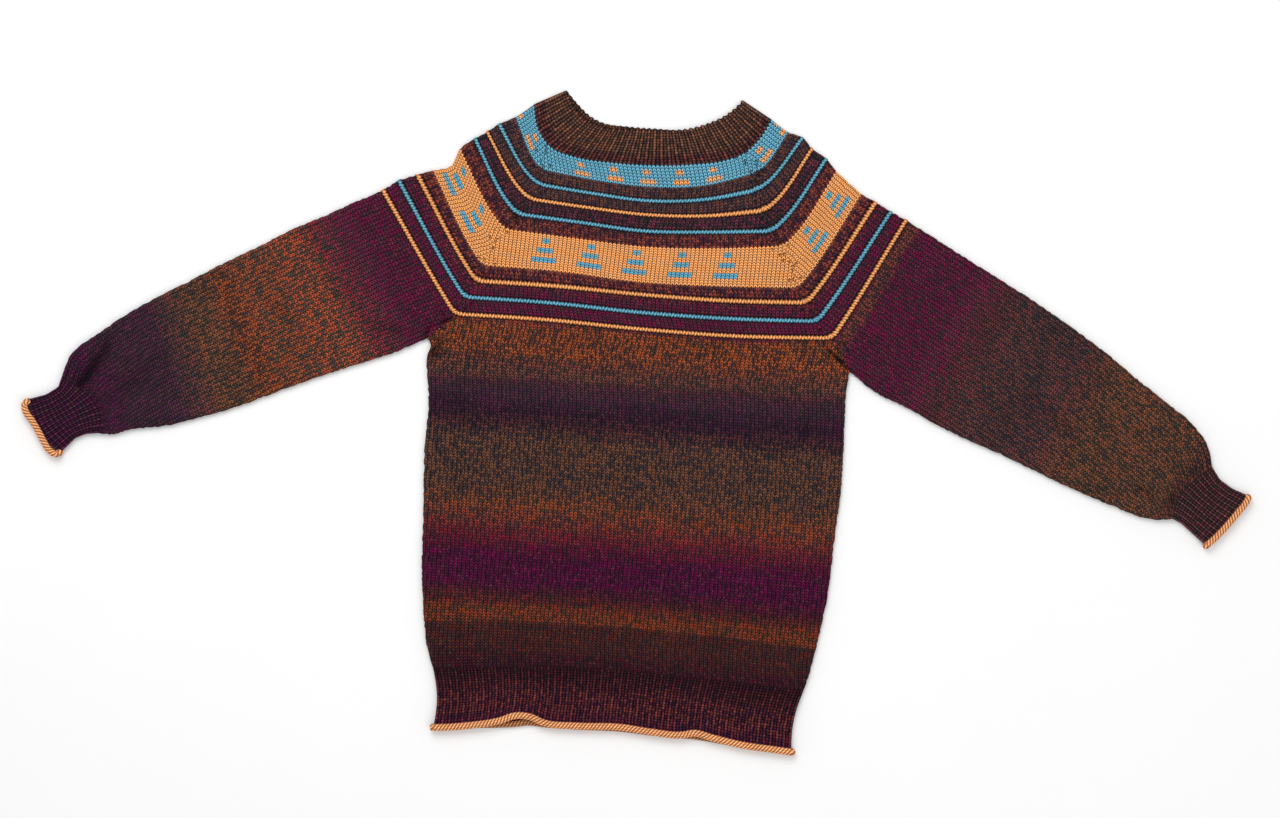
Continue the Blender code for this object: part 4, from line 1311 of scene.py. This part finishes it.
def tree_nodes(look, wale, slanted, start, tier, tiers, spacing, centre, reach):
    """Little trees in a band: each tier is two rows high and two stitches wider than the one before."""
    from_centre = look.minus(wale, centre)
    wrapped = look.modulo(look.plus(from_centre, spacing / 2), spacing)
    away = look.size(look.minus(wrapped, spacing / 2))
    level = look.minus(slanted, start)
    number = look.floor(look.over(level, tier))
    filled = look.above(look.modulo(level, tier), tier * 0.46)
    narrow = look.below(away, look.plus(number, 0.88))
    inside = look.within(level, 0, tier * tiers)
    near = look.below(look.size(wale), reach)
    return look.all_of(filled, narrow, inside, near)


def finish_wool(look, colour, height, light):
    """Fibre noise, painted shade between the stitches and painted light on their raised legs, painted shade
    in hollows, bump and sheen that all of the wool shares.
    """
    place = look.node("TexCoord").outputs["Object"]
    fibre = look.noise(FIBRE_SCALE, 2.0, place)
    patch = look.noise(PATCH_SCALE, 2.0, place)
    shade = look.graded(fibre, 0.5, 0.75)
    shade = look.times(shade, look.graded(patch, 0.24, 0.88))
    # Painted light on the raised legs and painted shade between them, then painted shade in the hollows
    raised_share = look.power(height, SHADE_POWER)
    shade = look.times(shade, look.graded(raised_share, light, SHADE_START))
    hollow, _ = look.map_parts("painted_shade_and_seam")
    shade = look.times(shade, look.minus(1.0, hollow))
    look.feed(look.shader.inputs["Base Color"], look.scaled(colour, shade))
    relief = look.graded(fibre, 0.25, height)
    bump = look.node("Bump", {"Strength": 0.8, "Distance": BUMP_DEPTH, "Height": relief})
    look.feed(look.shader.inputs["Normal"], bump.outputs[0])
    look.shader.inputs["Roughness"].default_value = 0.95
    look.shader.inputs["Specular IOR Level"].default_value = 0.06
    look.shader.inputs["Sheen Weight"].default_value = 0.02
    look.shader.inputs["Sheen Roughness"].default_value = 0.6
    return look.material


def yoke_material(name, bands, last, orange_trees, blue_trees):
    """Stockinette with the yoke's bands, cords and trees, then the marled wool's own bands."""
    look = Look(name)
    wale, course, slanted, row, leg, number = stitch_nodes(look)
    colour, chance = marl_nodes(look, wale, row, number, bands, last)
    vary = look.graded(chance, 0.16, 0.92)
    blue, orange = look.scaled(plain(BLUE), vary), look.scaled(plain(ORANGE), vary)
    in_blue = look.within(row, *BLUE_BAND)
    in_orange = look.within(row, *ORANGE_BAND)
    colour = look.mix(in_blue, colour, blue)
    colour = look.mix(in_orange, colour, orange)
    in_trees = tree_nodes(look, wale, slanted, *BLUE_TIERS, *blue_trees)
    colour = look.mix(in_trees, colour, orange)
    in_trees = tree_nodes(look, wale, slanted, *ORANGE_TIERS, *orange_trees)
    colour = look.mix(in_trees, colour, blue)
    wave = look.cosine(look.times(wale, 2 * math.pi))
    on_cord, shadow, lattice = None, None, None
    for cords, tint in ((BLUE_CORDS, blue), (ORANGE_CORDS, orange)):
        near, offset = look.offset_from(course, cords, CORD_REACH)
        across = look.over(look.graded(wave, CORD_WAVE, offset), CORD_HALF)
        round_shape = look.minus(1.0, look.all_of(across, across))
        mask = look.times(near, look.above(round_shape, 0.0))
        turns = look.times(wale, 2 * math.pi / CORD_STROKE)
        slant = look.graded(offset, CORD_SLANT, turns)
        strokes = look.graded(look.sine(slant), 0.2, 0.77)
        strokes = look.all_of(strokes, mask, look.root(look.most(round_shape, 0.0)))
        colour = look.mix(mask, colour, tint)
        on_cord = mask if on_cord is None else look.plus(on_cord, mask)
        shadow = near if shadow is None else look.plus(shadow, near)
        lattice = strokes if lattice is None else look.plus(lattice, strokes)
    # Painted shadow darkens the stitches just beside each cord
    off_cord = look.minus(1.0, on_cord)
    beside_cord = look.times(shadow, off_cord)
    colour = look.scaled(colour, look.graded(beside_cord, CORD_SHADOW, 1.0))
    height = look.plus(look.times(leg, off_cord), lattice)
    _, seam = look.map_parts("painted_shade_and_seam")
    hole = look.above(look.graded(seam, HOLE_CHANCE, chance), 1.0)
    in_wale = look.below(look.off_middle(wale), HOLE_HALF_WIDTH)
    hole = look.all_of(hole, off_cord, in_wale, look.above(seam, NEAR_SEAM))
    colour = look.scaled(colour, look.graded(hole, HOLE_SHADE, 1.0))
    return finish_wool(look, colour, height, KNIT_LIGHT)


def rib_material(name, bands, last):
    """Single rib: a wale of knit stitches on each ridge and one of purl stitches in each furrow."""
    look = Look(name)
    rib, course = look.map_parts("knit")
    wale = look.graded(rib, 2.0, 0.5)
    number = look.floor(wale)
    away = look.off_middle(wale)
    purl = look.modulo(look.plus(number, 1.0), 2.0)
    slanted = look.minus(course, look.times(away, 0.9))
    row = look.floor(slanted)
    half_wale = look.floor(look.times(wale, 2.0))
    colour, _ = marl_nodes(look, wale, row, half_wale, bands, last)
    across = leg_shape(look, away, 0.0, 0.46)
    height = look.times(across, look.graded(row_shape(look, slanted), 0.6, 0.4))
    # Purl wales are kept low, so the painted shade between stitches darkens them
    height = look.times(height, look.graded(purl, -0.12, 1.0))
    return finish_wool(look, colour, height, RIB_LIGHT)


def roll_material(name):
    """Rolled edge in the orange yarn, with slanted rows of purl bumps."""
    look = Look(name)
    along, around = look.map_parts("knit")
    slant = look.graded(along, 1 / ROLL_STROKE, around)
    wave = look.graded(look.sine(look.times(slant, 2 * math.pi)), 0.28, 0.72)
    rows = look.graded(look.cosine(look.times(around, 4 * math.pi)), 0.1, 0.88)
    height = look.times(wave, rows)
    chance = look.chance(look.floor(slant), look.floor(around))
    colour = look.scaled(plain(ROLL_ORANGE), look.graded(chance, 0.2, 0.9))
    return finish_wool(look, colour, height, ROLL_LIGHT)


def plain_material(name, colour, roughness):
    look = Look(name)
    grain = look.noise(60.0, 3.0)
    shade = look.graded(grain, 0.02, 0.99)
    look.feed(look.shader.inputs["Base Color"], look.scaled((*colour, 1.0), shade))
    look.shader.inputs["Roughness"].default_value = roughness
    return look.material


def build_stage():
    """Pale floor, soft lights and the camera straight above, framed as the photograph is."""
    bpy.ops.mesh.primitive_plane_add(size=FLOOR_SIZE, location=(0, 0, -FLOOR_DROP))
    floor = bpy.context.object
    floor.name = "floor"
    floor.data.materials.append(plain_material("floor_paper", (0.9, 0.9, 0.9), 0.9))
    world = bpy.data.worlds.new("studio")
    world.use_nodes = True
    world.node_tree.nodes["Background"].inputs["Color"].default_value = (1.0, 1.0, 1.0, 1.0)
    world.node_tree.nodes["Background"].inputs["Strength"].default_value = WORLD_LIGHT
    bpy.context.scene.world = world
    for name, place, size, power in LIGHTS:
        light = bpy.data.lights.new(name, "AREA")
        light.size = size
        light.energy = power
        holder = bpy.data.objects.new(name, light)
        holder.location = place
        bpy.context.scene.collection.objects.link(holder)
        aim(holder, (0.0, 0.0, 0.0))
    camera = bpy.data.cameras.new("camera")
    camera.lens = LENS
    camera.sensor_width = SENSOR
    holder = bpy.data.objects.new("camera", camera)
    width = PHOTO_SIZE[0] * PHOTO_SCALE * MM
    x = (PHOTO_SIZE[0] / 2 - PHOTO_ORIGIN[0]) * PHOTO_SCALE + PLAN_SHIFT[0]
    y = (PHOTO_ORIGIN[1] - PHOTO_SIZE[1] / 2) * PHOTO_SCALE + PLAN_SHIFT[1]
    holder.location = (x * MM, y * MM, width * LENS / SENSOR + LAID_HEIGHT * MM)
    bpy.context.scene.collection.objects.link(holder)
    bpy.context.scene.camera = holder
    bpy.context.scene.view_settings.view_transform = "Standard"


def aim(item, target):
    """Turn a light so that it shines at a point."""
    direction = np.array(target) - np.array(item.location)
    across = math.hypot(direction[0], direction[1])
    turn = math.atan2(direction[0], -direction[1]) + math.pi
    item.rotation_euler = (math.atan2(across, -direction[2]), 0.0, turn)


def declare_sheets(join, body, body_courses, sleeves):
    """Works out the cut of each piece of knitting from its rows, all round on a tube, and keeps none of it.
    """
    def declare(lengths, spacings, layers):
        lengths = np.array(lengths, float) * layers * MM
        spacings = np.array(spacings, float) * MM

    body_lengths = [row.cut_length() for row in body]
    body_spacings = np.diff(body_courses) * COURSE
    declare(body_lengths, body_spacings, 1)
    declare(body_lengths, body_spacings, 1)
    hem_lengths = [body[-1].line.length, hem_lines()[0].length]
    hem_height = [np.linalg.norm(body[-1].line.at(0.0) - hem_lines()[0].at(0.0))]
    declare(hem_lengths, hem_height, 1)
    declare(hem_lengths, hem_height, 1)
    middle_sections = np.array(NECKBAND_SECTIONS)[4:7]
    neck_height = [np.linalg.norm(middle_sections[:, 0:2] - middle_sections[:, 2:4], axis=1).mean()]
    declare([join.length, neck_lines()[1].length], neck_height, 2)
    for hand, (courses, rows) in sleeves.items():
        lengths = [row.cut_length() for row in rows]
        declare(lengths, np.diff(courses) * COURSE, 2)
        table = np.reshape(CUFF_ROWS[hand], (3, 3, 2)).astype(float)
        middles = [rows[-1].line.shares(0.5), *table[:, 1]]
        lengths = [rows[-1].line.length] + [Line(points).length for points in table]
        heights = np.linalg.norm(np.diff(np.array(middles), axis=0), axis=1)
        declare(lengths, heights, 2)


def main():
    build_stage()
    join, edge, back_edge = neck_lines()
    body_courses, body = body_rows(join)
    body_last = body_courses[-1]
    knit_body = yoke_material("marled_body", BODY_BANDS, body_last, BODY_ORANGE_TREES, BODY_BLUE_TREES)
    sleeves = {}
    knit_sleeves = {}
    ribs = {}
    sleeve_looks = (
        # hand, bands, cuff_bands, trees
        ("left", LEFT_BANDS, LEFT_CUFF_BANDS, LEFT_ORANGE_TREES),
        ("right", RIGHT_BANDS, RIGHT_CUFF_BANDS, RIGHT_ORANGE_TREES),
    )
    for hand, bands, cuff_bands, trees in sleeve_looks:
        sleeves[hand] = sleeve_rows(join, hand)
        last = sleeves[hand][0][-1]
        knit_sleeves[hand] = yoke_material(
            "marled_sleeve_" + hand, bands, last, trees, SLEEVE_BLUE_TREES)
        ribs[hand] = rib_material("marled_rib_cuff_" + hand, cuff_bands, CUFF_COURSES)
    rib_neck = rib_material("marled_rib_neck", NECK_BANDS, NECK_COURSES)
    rib_hem = rib_material("marled_rib_hem", HEM_BANDS, HEM_COURSES)
    edge_wool = roll_material("orange_rolled_edge")

    pieces = {}
    pieces["front"] = build_panel("front", body_courses, body, knit_body)
    pieces["back"] = build_panel("back", body_courses, body, knit_body)
    for hand in ("left", "right"):
        courses, rows = sleeves[hand]
        pieces["sleeve_" + hand] = build_sleeve(hand, courses, rows, knit_sleeves[hand])
        pieces["cuff_" + hand] = build_cuff(hand, rows[-1].line, ribs[hand])
        end = Line(CUFF_ROLLS[hand])
        pieces["cuff_roll_" + hand] = build_roll(
            "roll_cuff_" + hand, end, end, CUFF_ROLL_HALF_WIDTH, edge_wool)
    pieces["neckband"] = build_neckband(join, edge, back_edge, rib_neck)
    front, back = build_hem(body[-1].line, rib_hem)
    pieces["hem_rib_front"], pieces["hem_rib_back"] = front, back
    pieces["hem_roll"] = build_roll("roll_hem", *hem_lines(), HEM_ROLL_HALF_WIDTH, edge_wool)

    declare_sheets(join, body, body_courses, sleeves)
    for node, piece in pieces.items():
        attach(piece, "root")
        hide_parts(node)


main()
